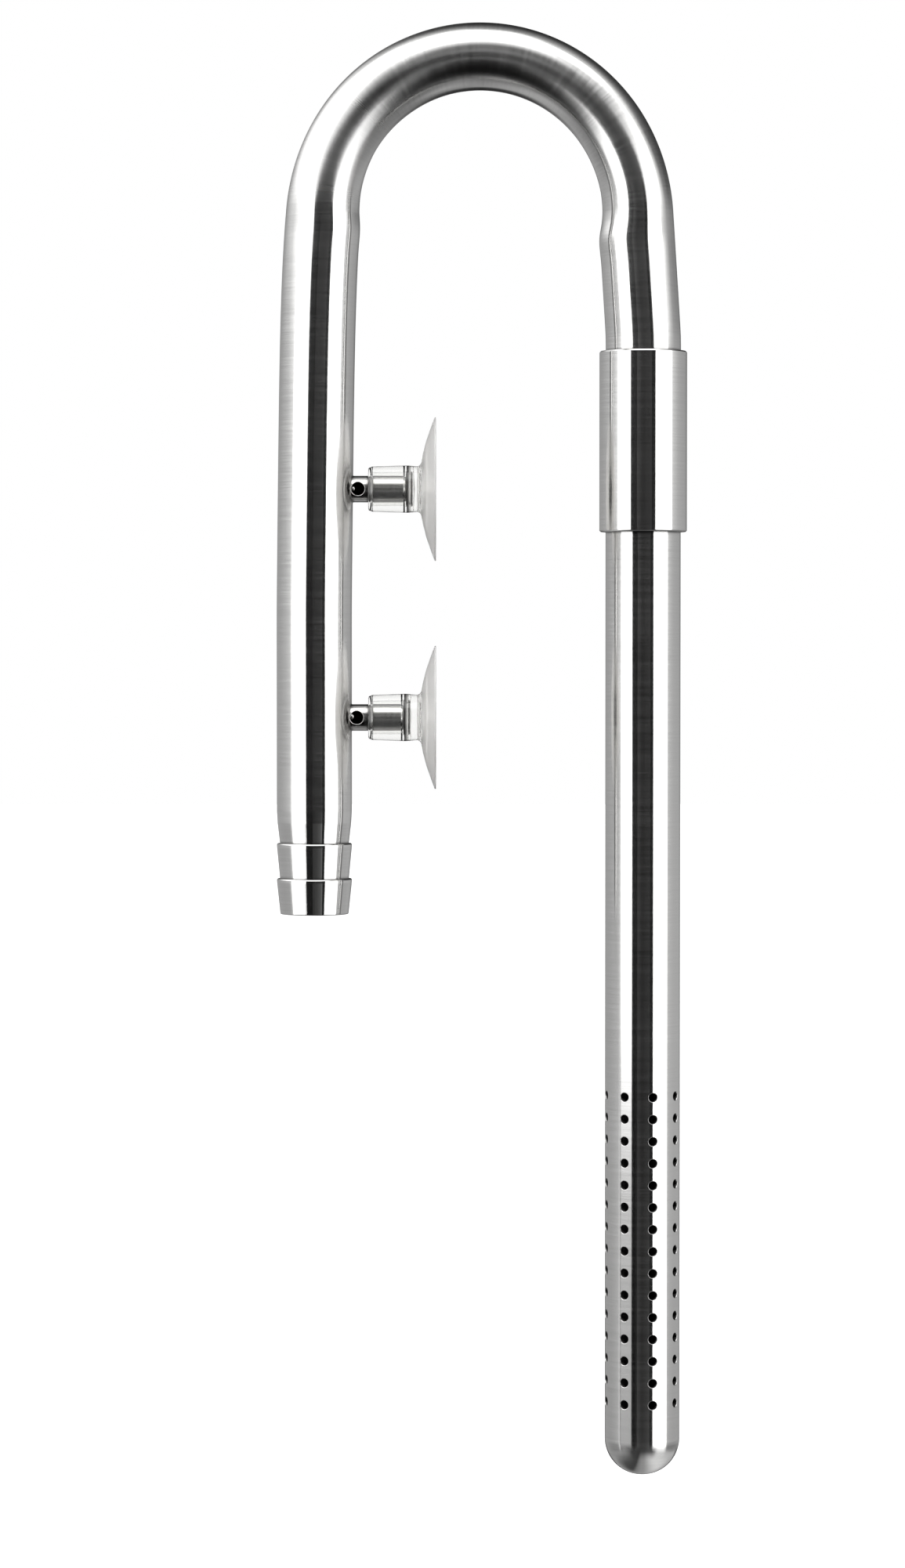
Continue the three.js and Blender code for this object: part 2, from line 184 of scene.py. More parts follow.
def outline(corners, closed=True, steps=6):
    """Corners (radius, height, fillet) traced with the material on the left, as strips of (radius, height, normal radius, normal height).
    A corner with a fillet is rounded, and one without starts a new strip, so it stays sharp."""
    pts = [np.array(c[:2], float) for c in corners]
    fillet = [c[2] if len(c) > 2 else 0 for c in corners]
    count = len(pts)

    def direction(k):
        d = pts[(k + 1) % count] - pts[k % count]
        return d / np.linalg.norm(d), np.linalg.norm(d)

    def normal(d):
        return np.array([d[1], -d[0]])

    strips = [[]]
    for k in range(count):
        if not closed and k == 0:
            strips[-1].append((*pts[0], *normal(direction(0)[0])))
            continue
        if not closed and k == count - 1:
            strips[-1].append((*pts[k], *normal(direction(k - 1)[0])))
            continue
        (din, lin_), (dout, lout) = direction(k - 1), direction(k)
        nin, nout = normal(din), normal(dout)
        if fillet[k] <= 0:
            strips[-1].append((*pts[k], *nin))
            strips.append([(*pts[k], *nout)])
            continue
        turn = math.acos(float(np.clip(din @ dout, -1, 1)))
        side = 1 if din[0] * dout[1] - din[1] * dout[0] > 0 else -1
        reach = min(fillet[k] * math.tan(turn / 2), 0.47 * lin_, 0.47 * lout)
        rho = reach / math.tan(turn / 2)
        start = pts[k] - din * reach
        centre = start - side * nin * rho
        for s in range(steps + 1):
            f = s / steps
            a = turn * f
            m = (nin * math.sin(turn - a) + nout * math.sin(a)) / math.sin(turn)
            strips[-1].append((*(centre + side * m * rho), *m))
    if closed:
        if fillet[0] > 0:
            strips[-1].append(strips[0][0])
        else:
            strips[-1].append((*pts[0], *normal(direction(count - 1)[0])))
            strips = strips[1:]
    return [np.array(s) for s in strips if len(s) > 1]


def divided(strip, longest):
    """The strip with its long straight runs cut into shorter ones."""
    rows = [strip[0]]
    for a, b in zip(strip[:-1], strip[1:]):
        cuts = max(1, int(math.ceil(np.linalg.norm(b[:2] - a[:2]) / longest)))
        rows += [a + (b - a) * c / cuts for c in range(1, cuts + 1)]
    return np.array(rows)


def revolve(skin, strips, around, axis, centre, tint=None, inside=None, longest=6.0):
    """Turns the strips about an axis: 'z' at centre (x, y), or 'x' at centre (y, z)."""
    t = np.arange(around) * 2 * math.pi / around
    along = 0.0
    for strip in strips:
        strip = divided(strip, longest)
        r, h, nr, nh = strip.T
        steps = np.r_[0, np.cumsum(np.hypot(np.diff(r), np.diff(h)))] + along
        along = steps[-1]
        rr = np.repeat(r[:, None], around, 1)
        hh = np.repeat(h[:, None], around, 1)
        c, s = np.cos(t), np.sin(t)
        if axis == "z":
            p = np.stack([centre[0] + rr * c, centre[1] + rr * s, hh], -1)
            n = np.stack([nr[:, None] * c, nr[:, None] * s, np.repeat(nh[:, None], around, 1)], -1)
        else:
            p = np.stack([hh, centre[0] + rr * c, centre[1] + rr * s], -1)
            n = np.stack([np.repeat(nh[:, None], around, 1), nr[:, None] * c, nr[:, None] * s], -1)
        u = np.repeat(steps[:, None], around + 1, 1) * 0.1
        v = np.repeat((np.arange(around + 1) / around)[None], len(r), 0)
        g = np.stack([np.repeat(steps[:, None], around, 1), rr * c, rr * s], -1)
        # inward-facing faces below the inside radius get the inside flag, the painted dark shade of a bore
        facing_in = np.broadcast_to(nr[:, None] < -0.3, rr.shape)
        skin.sheet(
            p,
            n,
            np.stack([u, v], -1),
            g,
            tint=None if tint is None else tint(rr, hh),
            inside=None if inside is None else (rr < inside) & facing_in,
        )


# ---------- hook pipe ----------
def outer_leg_x(z):
    t = np.maximum((np.asarray(z, float) - OUTER_LEG_STRAIGHT_Z) / (BEND_Z - OUTER_LEG_STRAIGHT_Z), 0)
    lean = (np.sqrt(t * t + 0.0064) - 0.08) / (math.sqrt(1.0064) - 0.08)
    return OUTER_LEG_X + OUTER_LEG_LEAN * (0.48 * lean + 0.52 * t**6)


def inner_leg_x(z):
    t = np.maximum((np.asarray(z, float) - INNER_LEG_STRAIGHT_Z) / (BEND_Z - INNER_LEG_STRAIGHT_Z), 0)
    k = math.sqrt(0.004)
    return INNER_LEG_X - INNER_LEG_LEAN * (np.sqrt(t * t + 0.004) - k) / (math.sqrt(1.004) - k)


def bend_radius(a):
    open_ = np.where(a < math.pi / 2, BEND_OPEN_INNER, BEND_OPEN_OUTER)
    return BEND_R + open_ * (1 - np.sin(a)) ** 3


def smoothed(table, spread=0.8):
    z = np.arange(40, 115, 0.1)
    k = np.arange(-30, 31) * 0.1
    w = np.exp(-0.5 * (k / spread) ** 2)
    v = np.interp(z, *zip(*table))
    v = np.convolve(np.pad(v, 30, mode="edge"), w / w.sum(), "valid")
    return z, v


_INNER, _OUTER = smoothed(THICK_INNER_LEG), smoothed(THICK_OUTER_LEG)


def hook_surface(radius, around):
    """Points rows x around x 3 of the hook's wall at a radius, and the distance along at each row."""
    legs = [-72.9] + list(np.arange(-70, 45, 2.5)) + list(np.arange(45, BEND_Z - 0.3, 0.8))
    legs[0] = OUTER_LEG_END
    inner = list(np.arange(BEND_Z - 0.8, 45, -0.8)) + list(np.arange(44.5, INNER_LEG_END + 1, -2.0)) + [INNER_LEG_END]
    psi = np.arange(around) * 2 * math.pi / around
    q, side = radius * np.cos(psi), radius * np.sin(psi)
    rows, mids = [], []

    def place(axis_rho, x, z, out, at):
        thick_in = np.interp(z, *_INNER)
        thick_out = np.interp(z, *_OUTER)
        f = np.clip((x - BEND_X + 14) / 28, 0, 1)
        f = f * f * (3 - 2 * f)
        thick = thick_out + (thick_in - thick_out) * f
        moved = axis_rho + TUBE_R - (TUBE_R - q) * thick / (2 * TUBE_R)
        grow = 1 + (BEND_BULGE - 1) * (2 * TUBE_R - thick) / 1.55
        rows.append(np.stack([at[0] + out[0] * moved, side * grow, at[1] + out[1] * moved], -1))
        mids.append((at[0] + out[0] * axis_rho, at[1] + out[1] * axis_rho))

    for z in legs:
        x = float(outer_leg_x(z))
        place(BEND_X - x, x - q, np.full(around, z), (-1, 0), (BEND_X, z))
    for i in range(0, 141):
        a = math.pi * (1 - i / 140)
        rho = float(bend_radius(a))
        out = (math.cos(a), math.sin(a))
        place(rho, BEND_X + (rho + q) * out[0], BEND_Z + (rho + q) * out[1], out, (BEND_X, BEND_Z))
    for z in inner:
        x = float(inner_leg_x(z))
        place(x - BEND_X, x + q, np.full(around, z), (1, 0), (BEND_X, z))
    mids = np.array(mids)
    along = np.r_[0, np.cumsum(np.linalg.norm(np.diff(mids, axis=0), axis=1))]
    return np.array(rows), along, psi


def hook_pipe():
    around = 112
    skin = Skin()
    walls = {}
    for radius, way in ((TUBE_R, 1), (BORE_R, -1)):
        p, along, psi = hook_surface(radius, around)
        ds = np.gradient(p, axis=0)
        dp = np.roll(p, -1, 1) - np.roll(p, 1, 1)
        n = unit(np.cross(ds, dp))
        middle = p.mean(1, keepdims=True)
        n *= np.sign(((p - middle) * n).sum(-1, keepdims=True)) * way
        n[0, :, 2] = n[-1, :, 2] = 0
        n = unit(n)
        u = np.repeat(along[:, None] * 0.1, around + 1, 1)
        v = np.repeat((np.arange(around + 1) / around)[None], len(along), 0)
        g = np.stack(
            [np.repeat(along[:, None], around, 1), np.repeat((radius * np.cos(psi))[None], len(along), 0), np.repeat((radius * np.sin(psi))[None], len(along), 0)],
            -1,
        )
        # heat tint round the two welded pegs, on the side that faces the glass
        tint = np.zeros(p.shape[:2])
        if way > 0:
            for z0 in (UPPER_Z, LOWER_Z):
                root = np.array([float(outer_leg_x(z0)) + TUBE_R, 0, z0])
                d = np.linalg.norm((p - root) * np.array([0.75, 1.0, 1.0]), axis=-1)
                tint += np.exp(-((np.maximum(d - PEG_R, 0) / 3.6) ** 2))
        turned = np.degrees(np.arctan2(middle[..., 2] - BEND_Z, middle[..., 0] - BEND_X))
        satin = np.interp(turned, (-10, 0, 14, 100, 128, 143, 153, 165, 174, 180), (0, 0, 0.3, 0.3, 0.32, 0.75, 1, 0.95, 0.6, 0))
        satin = satin * (middle[..., 2] > BEND_Z)
        skin.sheet(p, n, np.stack([u, v], -1), g, tint=tint, satin=satin, inside=0.0 if way > 0 else 1.0)
        walls[radius] = (p, g)
    for end, z in ((0, -1.0), (-1, -1.0)):
        p = np.stack([walls[TUBE_R][0][end], walls[BORE_R][0][end]])
        g = np.stack([walls[TUBE_R][1][end], walls[BORE_R][1][end]])
        n = np.zeros_like(p)
        n[..., 2] = z
        v = np.repeat((np.arange(around + 1) / around)[None], 2, 0)
        u = np.array([[0.0], [0.1]]).repeat(around + 1, 1)
        skin.sheet(p, n, np.stack([u, v], -1), g)
    return skin.build("hook_pipe_fine")


# ---------- hose barb ----------
def hose_barb():
    top = OUTER_LEG_END
    s1, s2 = -80.25, -88.25
    skin = Skin()
    strips = outline(
        [
            (7.72, BARB_END, 0.26),
            (8.50, s2 - 0.75, 0.25),
            (8.52, s2 - 0.2, 0.04),
            (8.34, s2, 0.04),
            (7.8, s2, 0.06),
            (8.50, s1 - 0.75, 0.25),
            (8.52, s1 - 0.2, 0.04),
            (8.34, s1, 0.04),
            (7.8, s1, 0.06),
            (8.36, top - 2.6, 6.0),
            (8.5, top, 0),
            (7.38, top, 0),
            (7.38, top + 4, 0.1),
            (6.42, top + 4, 0.1),
            (6.42, BARB_END + 0.6, 0.1),
            (6.62, BARB_END, 0.1),
        ],
        steps=4,
    )
    revolve(skin, strips, 112, "z", (OUTER_LEG_X, 0), inside=7.0, longest=1.2)
    return skin.build("hose_barb_fine")


# ---------- coupling ----------
def coupling_sleeve():
    top, bottom, mid = SLEEVE_TOP, SLEEVE_BOTTOM, SLEEVE_MID
    inside = []
    for c in (17, 9, -9, -17):
        if c == -9:
            inside += [(8.62, mid + 0.4, 0.05), (7.6, mid + 0.4, 0.12), (7.6, mid - 0.4, 0.12), (8.62, mid - 0.4, 0.05)]
        inside += [(8.62, mid + c + 0.75, 0.08), (9.38, mid + c + 0.75, 0.1), (9.38, mid + c - 0.75, 0.1), (8.62, mid + c - 0.75, 0.08)]
    strips = outline(
        [
            (9.9, bottom + 0.3, 0.1),
            (9.9, top - 0.32, 0.1),
            (9.6, top, 0.08),
            (8.86, top, 0.08),
            (8.62, top - 0.4, 0.1),
            *inside,
            (8.62, bottom + 0.4, 0.1),
            (8.86, bottom, 0.08),
            (9.62, bottom, 0.1),
        ],
        steps=4,
    )
    skin = Skin()
    revolve(skin, strips, 128, "z", (SLEEVE_X, 0), inside=9.5, longest=3.0)
    return skin.build("coupling_sleeve_fine")


def o_ring(name, z):
    """An oval section with the faint flash line that a split mould leaves inside and out."""
    steps = 40
    t = np.arange(steps + 1) * 2 * math.pi / steps
    r = 8.94 + 0.4 * np.cos(t)
    h = z + 0.5 * np.sin(t)
    nr, nh = np.cos(t) / 0.4, np.sin(t) / 0.5
    flash = 0.02 * np.exp(-((np.sin(t) / 0.09) ** 2)) * np.sign(np.cos(t))
    m = unit(np.stack([nr, nh], -1))
    strip = np.stack([r + flash, h, m[:, 0], m[:, 1]], -1)
    skin = Skin()
    revolve(skin, [strip], 128, "z", (SLEEVE_X, 0))
    return skin.build(name)


# ---------- strainer ----------
def strainer_tube():
    around, per = 96, 12  # 12 facets to each of the eight cells
    skin = Skin()
    phase = math.radians(HOLE_PHASE)
    half_a, half_h = math.pi / HOLE_COLUMNS, HOLE_PITCH / 2
    first = HOLE_TOP_Z + half_h
    last = first - HOLE_ROWS * HOLE_PITCH

    def at(radius, angle, z):
        return np.stack([INNER_LEG_X + radius * np.sin(angle), -radius * np.cos(angle), np.broadcast_to(z, np.shape(angle))], -1)

    def radial(angle):
        return np.stack([np.sin(angle), -np.cos(angle), np.zeros_like(angle)], -1)

    def plain(z_list, radius, way):
        angle = phase - half_a + np.arange(around) * 2 * math.pi / around
        z = np.array(z_list)[:, None]
        a = np.repeat(angle[None], len(z_list), 0)
        p = at(radius, a, z)
        u = np.repeat(z * -0.1, around + 1, 1)
        v = np.repeat((np.arange(around + 1) / around)[None], len(z_list), 0)
        g = np.stack([np.broadcast_to(z, a.shape), radius * np.cos(a), radius * np.sin(a)], -1)
        skin.sheet(p, radial(a) * way, np.stack([u, v], -1), g, inside=0.0 if way > 0 else 1.0)
        return p, g

    upper = [STRAINER_TOP] + list(np.linspace(STRAINER_TOP - 4, first, 36))
    lower = list(np.linspace(last, STRAINER_JOINT, 5))
    ends = {}
    for radius, way in ((TUBE_R, 1), (BORE_R, -1)):
        ends[radius, "top"] = [a[0] for a in plain(upper, radius, way)]
        ends[radius, "end"] = [a[-1] for a in plain(lower, radius, way)]
    for end, z in (("top", 1.0), ("end", -1.0)):
        p = np.stack([ends[TUBE_R, end][0], ends[BORE_R, end][0]])
        g = np.stack([ends[TUBE_R, end][1], ends[BORE_R, end][1]])
        n = np.zeros_like(p)
        n[..., 2] = z
        v = np.repeat((np.arange(around + 1) / around)[None], 2, 0)
        u = np.array([[0.0], [0.1]]).repeat(around + 1, 1)
        skin.sheet(p, n, np.stack([u, v], -1), g)

    # the border of one cell, as (angle, height) from its hole, going round
    tall = 8
    border = []
    for k in range(per):
        border.append((-half_a + 2 * half_a * k / per, -half_h))
    for k in range(tall):
        border.append((half_a, -half_h + 2 * half_h * k / tall))
    for k in range(per):
        border.append((half_a - 2 * half_a * k / per, half_h))
    for k in range(tall):
        border.append((-half_a, half_h - 2 * half_h * k / tall))
    border = np.array(border)
    beta = np.arctan2(border[:, 1], border[:, 0] * TUBE_R)
    cb, sb = np.cos(beta), np.sin(beta)
    rim = HOLE_R + 0.1

    def circle(radius_hole, radius_tube):
        return np.stack([np.arcsin(radius_hole * cb / radius_tube), radius_hole * sb], -1)

    outer0, inner0 = circle(rim, TUBE_R), circle(HOLE_R, BORE_R)
    outer = np.stack([outer0 + (border - outer0) * f for f in (0, 0.14, 0.4, 0.7, 1)])
    inner = np.stack([inner0 + (border - inner0) * f for f in (0, 0.45, 1)])
    bevel = np.stack([circle(rim, TUBE_R), circle(rim - 0.05, TUBE_R - 0.03), circle(HOLE_R, TUBE_R - 0.11)])
    bevel_r = np.array([TUBE_R, TUBE_R - 0.03, TUBE_R - 0.11])[:, None]
    bevel_n = [(0.95, -0.31), (0.7, -0.71), (0.25, -0.97)]
    wall = np.stack([circle(HOLE_R, TUBE_R - 0.11), circle(HOLE_R, TUBE_R - 0.3), circle(HOLE_R, BORE_R)])
    wall_r = np.array([TUBE_R - 0.11, TUBE_R - 0.3, BORE_R])[:, None]
    # the hole walls past the bevel get the inside flag, painted dark shade
    depth = np.array([0.0, 1.0, 1.0])[:, None]

    for row in range(HOLE_ROWS):
        z0 = HOLE_TOP_Z - HOLE_PITCH * row
        for column in range(HOLE_COLUMNS):
            a0 = phase + 2 * math.pi * column / HOLE_COLUMNS
            tangent = np.array([math.cos(a0), math.sin(a0), 0.0])
            spread = cb[:, None] * tangent + sb[:, None] * np.array([0, 0, 1.0])

            def lay(patch, radius, normals, inside=0.0):
                a, z = patch[..., 0] + a0, patch[..., 1] + z0
                p = at(radius, a, z)
                u = -0.1 * z
                v = (a - phase + half_a) / (2 * math.pi)
                uv = np.stack([u, v], -1)
                uv = np.concatenate([uv, uv[:, :1]], 1)
                rr = np.broadcast_to(radius, a.shape)
                g = np.stack([z, rr * np.cos(a), rr * np.sin(a)], -1)
                skin.sheet(p, normals(a), uv, g, inside=inside)

            lay(outer, TUBE_R, radial)
            lay(inner, BORE_R, lambda a: -radial(a), 1.0)
            lay(bevel, bevel_r, lambda a: np.stack([unit(radial(a[k]) * m[0] + spread * m[1]) for k, m in enumerate(bevel_n)]))
            lay(wall, wall_r, lambda a: np.stack([-spread] * 3), depth)
    return skin.build("strainer_tube_fine")


def strainer_end_cap():
    top = STRAINER_JOINT
    straight = 1.6
    rise = top - straight - STRAINER_END
    a = np.linspace(0, math.pi / 2, 36)

    def dome(radius, height):
        r = radius * np.cos(a) ** 0.97
        h = top - straight - height * np.sin(a)
        r[-1] = 0
        nr = np.cos(a) / radius
        nh = -np.sin(a) / height
        m = unit(np.stack([nr, nh], -1))
        return np.stack([r, h, m[:, 0], m[:, 1]], -1)

    out = dome(TUBE_R, rise)[::-1]
    out = np.concatenate([out, [[TUBE_R, top, 1, 0]]])
    inn = dome(BORE_R, rise - 1.0)
    inn[:, 2:] *= -1
    inn = np.concatenate([[[BORE_R, top, -1, 0]], inn])
    rim = np.array([[TUBE_R, top, 0, 1], [BORE_R, top, 0, 1]], float)
    skin = Skin()
    revolve(skin, [out, rim, inn], 96, "z", (INNER_LEG_X, 0), inside=BORE_R + 0.01, longest=0.8)
    return skin.build("strainer_end_cap_fine")


# ---------- pegs ----------
def mount_peg(name, z0, flange_back, nugget):
    around = 96
    face = flange_back + FLANGE
    vent_x = float(outer_leg_x(z0)) + TUBE_R + VENT_FROM_PIPE
    skin = Skin()

    def root_x(radius, psi, off=0.0):
        z = z0 + radius * np.sin(psi)
        return outer_leg_x(z) + np.sqrt((TUBE_R + off) ** 2 - (radius * np.cos(psi)) ** 2)

    def at(radius, x, psi):
        return np.stack([np.broadcast_to(x, np.shape(psi)), -radius * np.cos(psi), z0 + radius * np.sin(psi)], -1)

    def out(psi):
        return np.stack([np.zeros_like(psi), -np.cos(psi), np.sin(psi)], -1)

    def lay(x, psi, radius, n, wrap):
        p = at(radius, x, psi)
        v = psi / (2 * math.pi)
        uv = np.stack([x * 0.1, v], -1)
        if wrap:
            uv = np.concatenate([uv, uv[:, :1] + [0, 1.0]], 1)
        rr = np.broadcast_to(radius, psi.shape)
        g = np.stack([x, rr * np.cos(psi), rr * np.sin(psi)], -1)
        skin.sheet(p, n, uv, g, wrap=wrap, inside=np.full(p.shape[:2], float(radius == PEG_BORE_R)))

    step = 2 * math.pi / around
    edge = {PEG_R: (20, vent_x + 2.3, 0.13), PEG_BORE_R: (20, vent_x + 2.2, 0.0)}
    rings = {}
    for radius, (half, stop, stand) in edge.items():
        way = 1 if radius == PEG_R else -1
        psi_side = np.arange(-half, half + 1) * step
        # the sheet round the back of the peg
        psi = np.arange(half, around - half + 1) * step
        rows = 9
        f = np.linspace(0, 1, rows)[:, None]
        x0 = root_x(radius, psi) + stand
        x = x0[None] + (stop - x0[None]) * f
        pp = np.repeat(psi[None], rows, 0)
        lay(x, pp, radius, out(pp) * way, False)
        # the patch with the drain hole in it
        x0 = root_x(radius, psi_side) + stand
        border = [(x0[k], psi_side[k]) for k in range(2 * half, 0, -1)]
        border += [(x0[0] + (stop - x0[0]) * k / 8, psi_side[0]) for k in range(8)]
        border += [(stop, psi_side[k]) for k in range(2 * half)]
        border += [(stop + (x0[-1] - stop) * k / 8, psi_side[-1]) for k in range(8)]
        border = np.array(border)
        beta = np.arctan2(border[:, 1] * radius, border[:, 0] - vent_x)
        bore = VENT_R + (0.17 if way > 0 else 0)
        hole = np.stack([vent_x + bore * np.cos(beta), np.arcsin(bore * np.sin(beta) / radius)], -1)
        patch = np.stack([hole + (border - hole) * g for g in (0, 0.3, 0.65, 1)])
        p = at(radius, patch[..., 0], patch[..., 1])
        v = patch[..., 1] / (2 * math.pi)
        uv = np.stack([patch[..., 0] * 0.1, v], -1)
        uv = np.concatenate([uv, uv[:, :1]], 1)
        g = np.stack([patch[..., 0], radius * np.cos(patch[..., 1]), radius * np.sin(patch[..., 1])], -1)
        skin.sheet(p, out(patch[..., 1]) * way, uv, g, inside=np.full(p.shape[:2], float(way < 0)))
        rings[radius] = beta
    # wall of the drain hole, with a small bevel at its mouth
    beta = rings[PEG_R]
    turn = np.stack([np.cos(beta), np.zeros_like(beta), np.sin(beta)], -1)
    mouth = []
    for r_hole, sink in ((VENT_R + 0.17, 0.0), (VENT_R + 0.05, 0.1), (VENT_R, 0.26)):
        y = -np.sqrt(PEG_R**2 - (r_hole * np.sin(beta)) ** 2) + sink
        mouth.append(np.stack([vent_x + r_hole * np.cos(beta), y, z0 + r_hole * np.sin(beta)], -1))
    outward = unit(np.stack([np.zeros_like(beta), mouth[0][:, 1], mouth[0][:, 2] - z0], -1))
    normals = [unit(outward * 0.9 - turn * 0.4), unit(outward * 0.5 - turn * 0.85), -turn]
    # its inner edge takes the points of the bore's own patch, so that the two close up
    b2 = rings[PEG_BORE_R]
    y = -np.sqrt(PEG_BORE_R**2 - (VENT_R * np.sin(b2)) ** 2)
    mouth.append(np.stack([vent_x + VENT_R * np.cos(b2), y, z0 + VENT_R * np.sin(b2)], -1))
    normals.append(-np.stack([np.cos(b2), np.zeros_like(b2), np.sin(b2)], -1))
    p, n = np.array(mouth), np.array(normals)
    uv = np.stack([np.repeat(np.arange(4)[:, None] * 0.05, len(beta) + 1, 1), np.repeat(np.linspace(0, 1, len(beta) + 1)[None], 4, 0)], -1)
    g = np.stack([p[..., 1] + vent_x, p[..., 0] - vent_x, p[..., 2] - z0], -1)
    skin.sheet(p, n, uv, g)
    # weld fillet where the peg meets the pipe
    psi = np.arange(around) * step
    rows_x, rows_r = [], []
    for f in np.linspace(0, 1, 6):
        a = f * math.pi / 2
        grow = 0.34 * (1 - math.cos(a)) * (1 + 0.16 * np.sin(3 * psi + 1) + 0.1 * np.sin(7 * psi + z0))
        lift = 0.13 + 0.0 * psi
        radius = PEG_R + grow
        rows_r.append(radius)
        rows_x.append(root_x(radius, psi) + lift * (1 - math.sin(a)) - 0.03 * f)
    radius, x = np.array(rows_r), np.array(rows_x)
    pp = np.repeat(psi[None], 6, 0)
    p = np.stack([x, -radius * np.cos(pp), z0 + radius * np.sin(pp)], -1)
    f = np.linspace(0, 1, 6)[:, None, None] * math.pi / 2
    n = unit(out(pp) * np.cos(f) + np.array([1.0, 0, 0]) * np.sin(f) * 0.9)
    uv = np.stack([np.repeat(x[:, :1] * 0.1, around + 1, 1), np.repeat(np.linspace(0, 1, around + 1)[None], 6, 0)], -1)
    g = np.stack([x, radius * np.cos(pp), radius * np.sin(pp)], -1)
    skin.sheet(p, n, uv, g, tint=np.ones(p.shape[:2]))
    # hidden end of the wall, on the pipe
    outer = p[-1]
    inner = at(PEG_BORE_R, root_x(PEG_BORE_R, psi), psi)
    pair = np.stack([outer, inner])
    n = np.zeros_like(pair)
    n[..., 0] = -1
    skin.sheet(pair, n, uv[:2], np.stack([g[-1], g[-1]]))
    # shank, flange and blind bore, turned
    back = flange_back
    x1, x2 = vent_x + 2.3, vent_x + 2.2
    shank = outline(
        [
            (0, face, 0),
            (FLANGE_R - 0.1, face, 0.12),
            (FLANGE_R + 0.2, face - 0.3, 0.12),
            (FLANGE_R + 0.2, back + 0.2, 0.1),
            (FLANGE_R, back, 0.08),
            (PEG_R - 0.25, back, 0.08),
            (PEG_R - 0.25, back - 0.35, 0.08),
            (PEG_R, back - 0.5, 0.08),
            (PEG_R, x1, 0),
        ][::-1],
        closed=False,
        steps=4,
    )
    bore = outline([(0, back - 0.6, 0), (PEG_BORE_R, back - 1.6, 0.15), (PEG_BORE_R, x2, 0)], closed=False, steps=4)
    revolve_from_front(skin, shank + bore, around, z0, back)
    lump(skin, nugget, z0)
    return skin.build(name)


def revolve_from_front(skin, strips, around, z0, back):
    """As revolve about x, with its first meridian facing the front, so that it meets the sheets above.
    The back edge of the flange is given the inside flag, a painted dark shade band."""
    t = np.arange(around) * 2 * math.pi / around
    for strip in strips:
        strip = divided(strip, 1.0)
        r, h, nr, nh = (c[:, None] for c in strip.T)
        p = np.stack([np.repeat(h, around, 1), -r * np.cos(t), z0 + r * np.sin(t)], -1)
        n = np.stack([np.repeat(nh, around, 1), -nr * np.cos(t), nr * np.sin(t)], -1)
        steps = np.r_[0, np.cumsum(np.hypot(np.diff(strip[:, 0]), np.diff(strip[:, 1])))]
        uv = np.stack([np.repeat(steps[:, None] * 0.1, around + 1, 1), np.repeat(np.linspace(0, 1, around + 1)[None], len(strip), 0)], -1)
        g = np.stack([np.repeat(h, around, 1), r * np.cos(t), r * np.sin(t)], -1)
        # painted shade: a dark band round the back edge of the flange
        dark = (h < back + 0.5) & (h > back - 0.1) & (r > PEG_R + 0.2)
        skin.sheet(p, n, uv, g, inside=np.broadcast_to(dark, p.shape[:2]))


def lump(skin, nugget, z0):
    """The bead of weld metal that shows inside the drain hole."""
    x0, y0, dz, radius = nugget
    rows, around = 21, 32
    a = np.linspace(0, math.pi, rows)[:, None]
    t = (np.arange(around) * 2 * math.pi / around)[None]
    d = np.stack([np.sin(a) * np.cos(t), np.sin(a) * np.sin(t), np.cos(a) + 0 * t], -1)
    r = radius * (1 + 0.08 * np.sin(3.1 * d[..., 0] + 2) + 0.07 * np.sin(4.3 * d[..., 2] + 1) + 0.05 * np.sin(6 * d[..., 1]))
    p = d * r[..., None] + np.array([x0, y0, z0 + dz])
    uv = np.stack([np.repeat(a * 0.1, around + 1, 1), np.repeat(np.linspace(0, 1, around + 1)[None], rows, 0)], -1)
    skin.sheet(p, d, uv, p - np.array([0, 0, z0]), tint=np.zeros(p.shape[:2]))


# ---------- suction cups ----------
def suction_cup(name, z0, flange_back, flare):
    face = flange_back + FLANGE
    end = low_high(name.replace("_fine", ""))[0][0]
    rim = 16.2
    strips = outline(
        [
            (0, 0, 0),
            (3.6, 0, 0.2),
            (4.6, -0.6, 0.4),
            (8.4, -0.55, 0.6),
            (9.6, 0, 0.4),
            (rim, 0, 0.08),
            (rim, -0.3, 0.12),
            (14.4, -0.98, 6.0),
            (10.9, -2.2, 10.0),
            (8.0, -2.95, 7.0),
            (5.75, -3.35, 1.2),
            (5.12, -4.0, 1.2),
            (5.34 + flare, flange_back + 0.4, 3.0),
            (5.3, flange_back - 1.2, 4.0),
            (5.1, end + 0.9, 0.35),
            (4.75, end, 0.3),
            (3.14, end, 0.12),
            (3.14, end + 0.85, 0.1),
            (3.8, end + 1.0, 0.15),
            (3.8, flange_back - 0.6, 0.2),
            (4.04, flange_back - 0.25, 0.1),
            (4.04, face + 0.35, 0.2),
            (0, face + 0.6, 0),
        ][::-1],
        closed=False,
        steps=7,
    )
    skin = Skin()
    revolve(
        skin,
        strips,
        144,
        "x",
        (0, z0),
        tint=lambda r, h: np.clip((r - 5.3) / 1.6, 0, 1) * np.clip((h + 3.9) / 0.6, 0, 1),
        longest=0.7,
    )
    return skin.build(name)


# ---------- materials ----------
def lin(v):
    v = v / 255
    return v / 12.92 if v <= 0.04045 else ((v + 0.055) / 1.055) ** 2.4


def new_material(name):
    m = bpy.data.materials.new(name)
    m.use_nodes = True
    nodes, links = m.node_tree.nodes, m.node_tree.links
    nodes.clear()
    out = nodes.new("ShaderNodeOutputMaterial")
    bsdf = nodes.new("ShaderNodeBsdfPrincipled")
    links.new(bsdf.outputs["BSDF"], out.inputs["Surface"])
    return m, nodes, links, bsdf


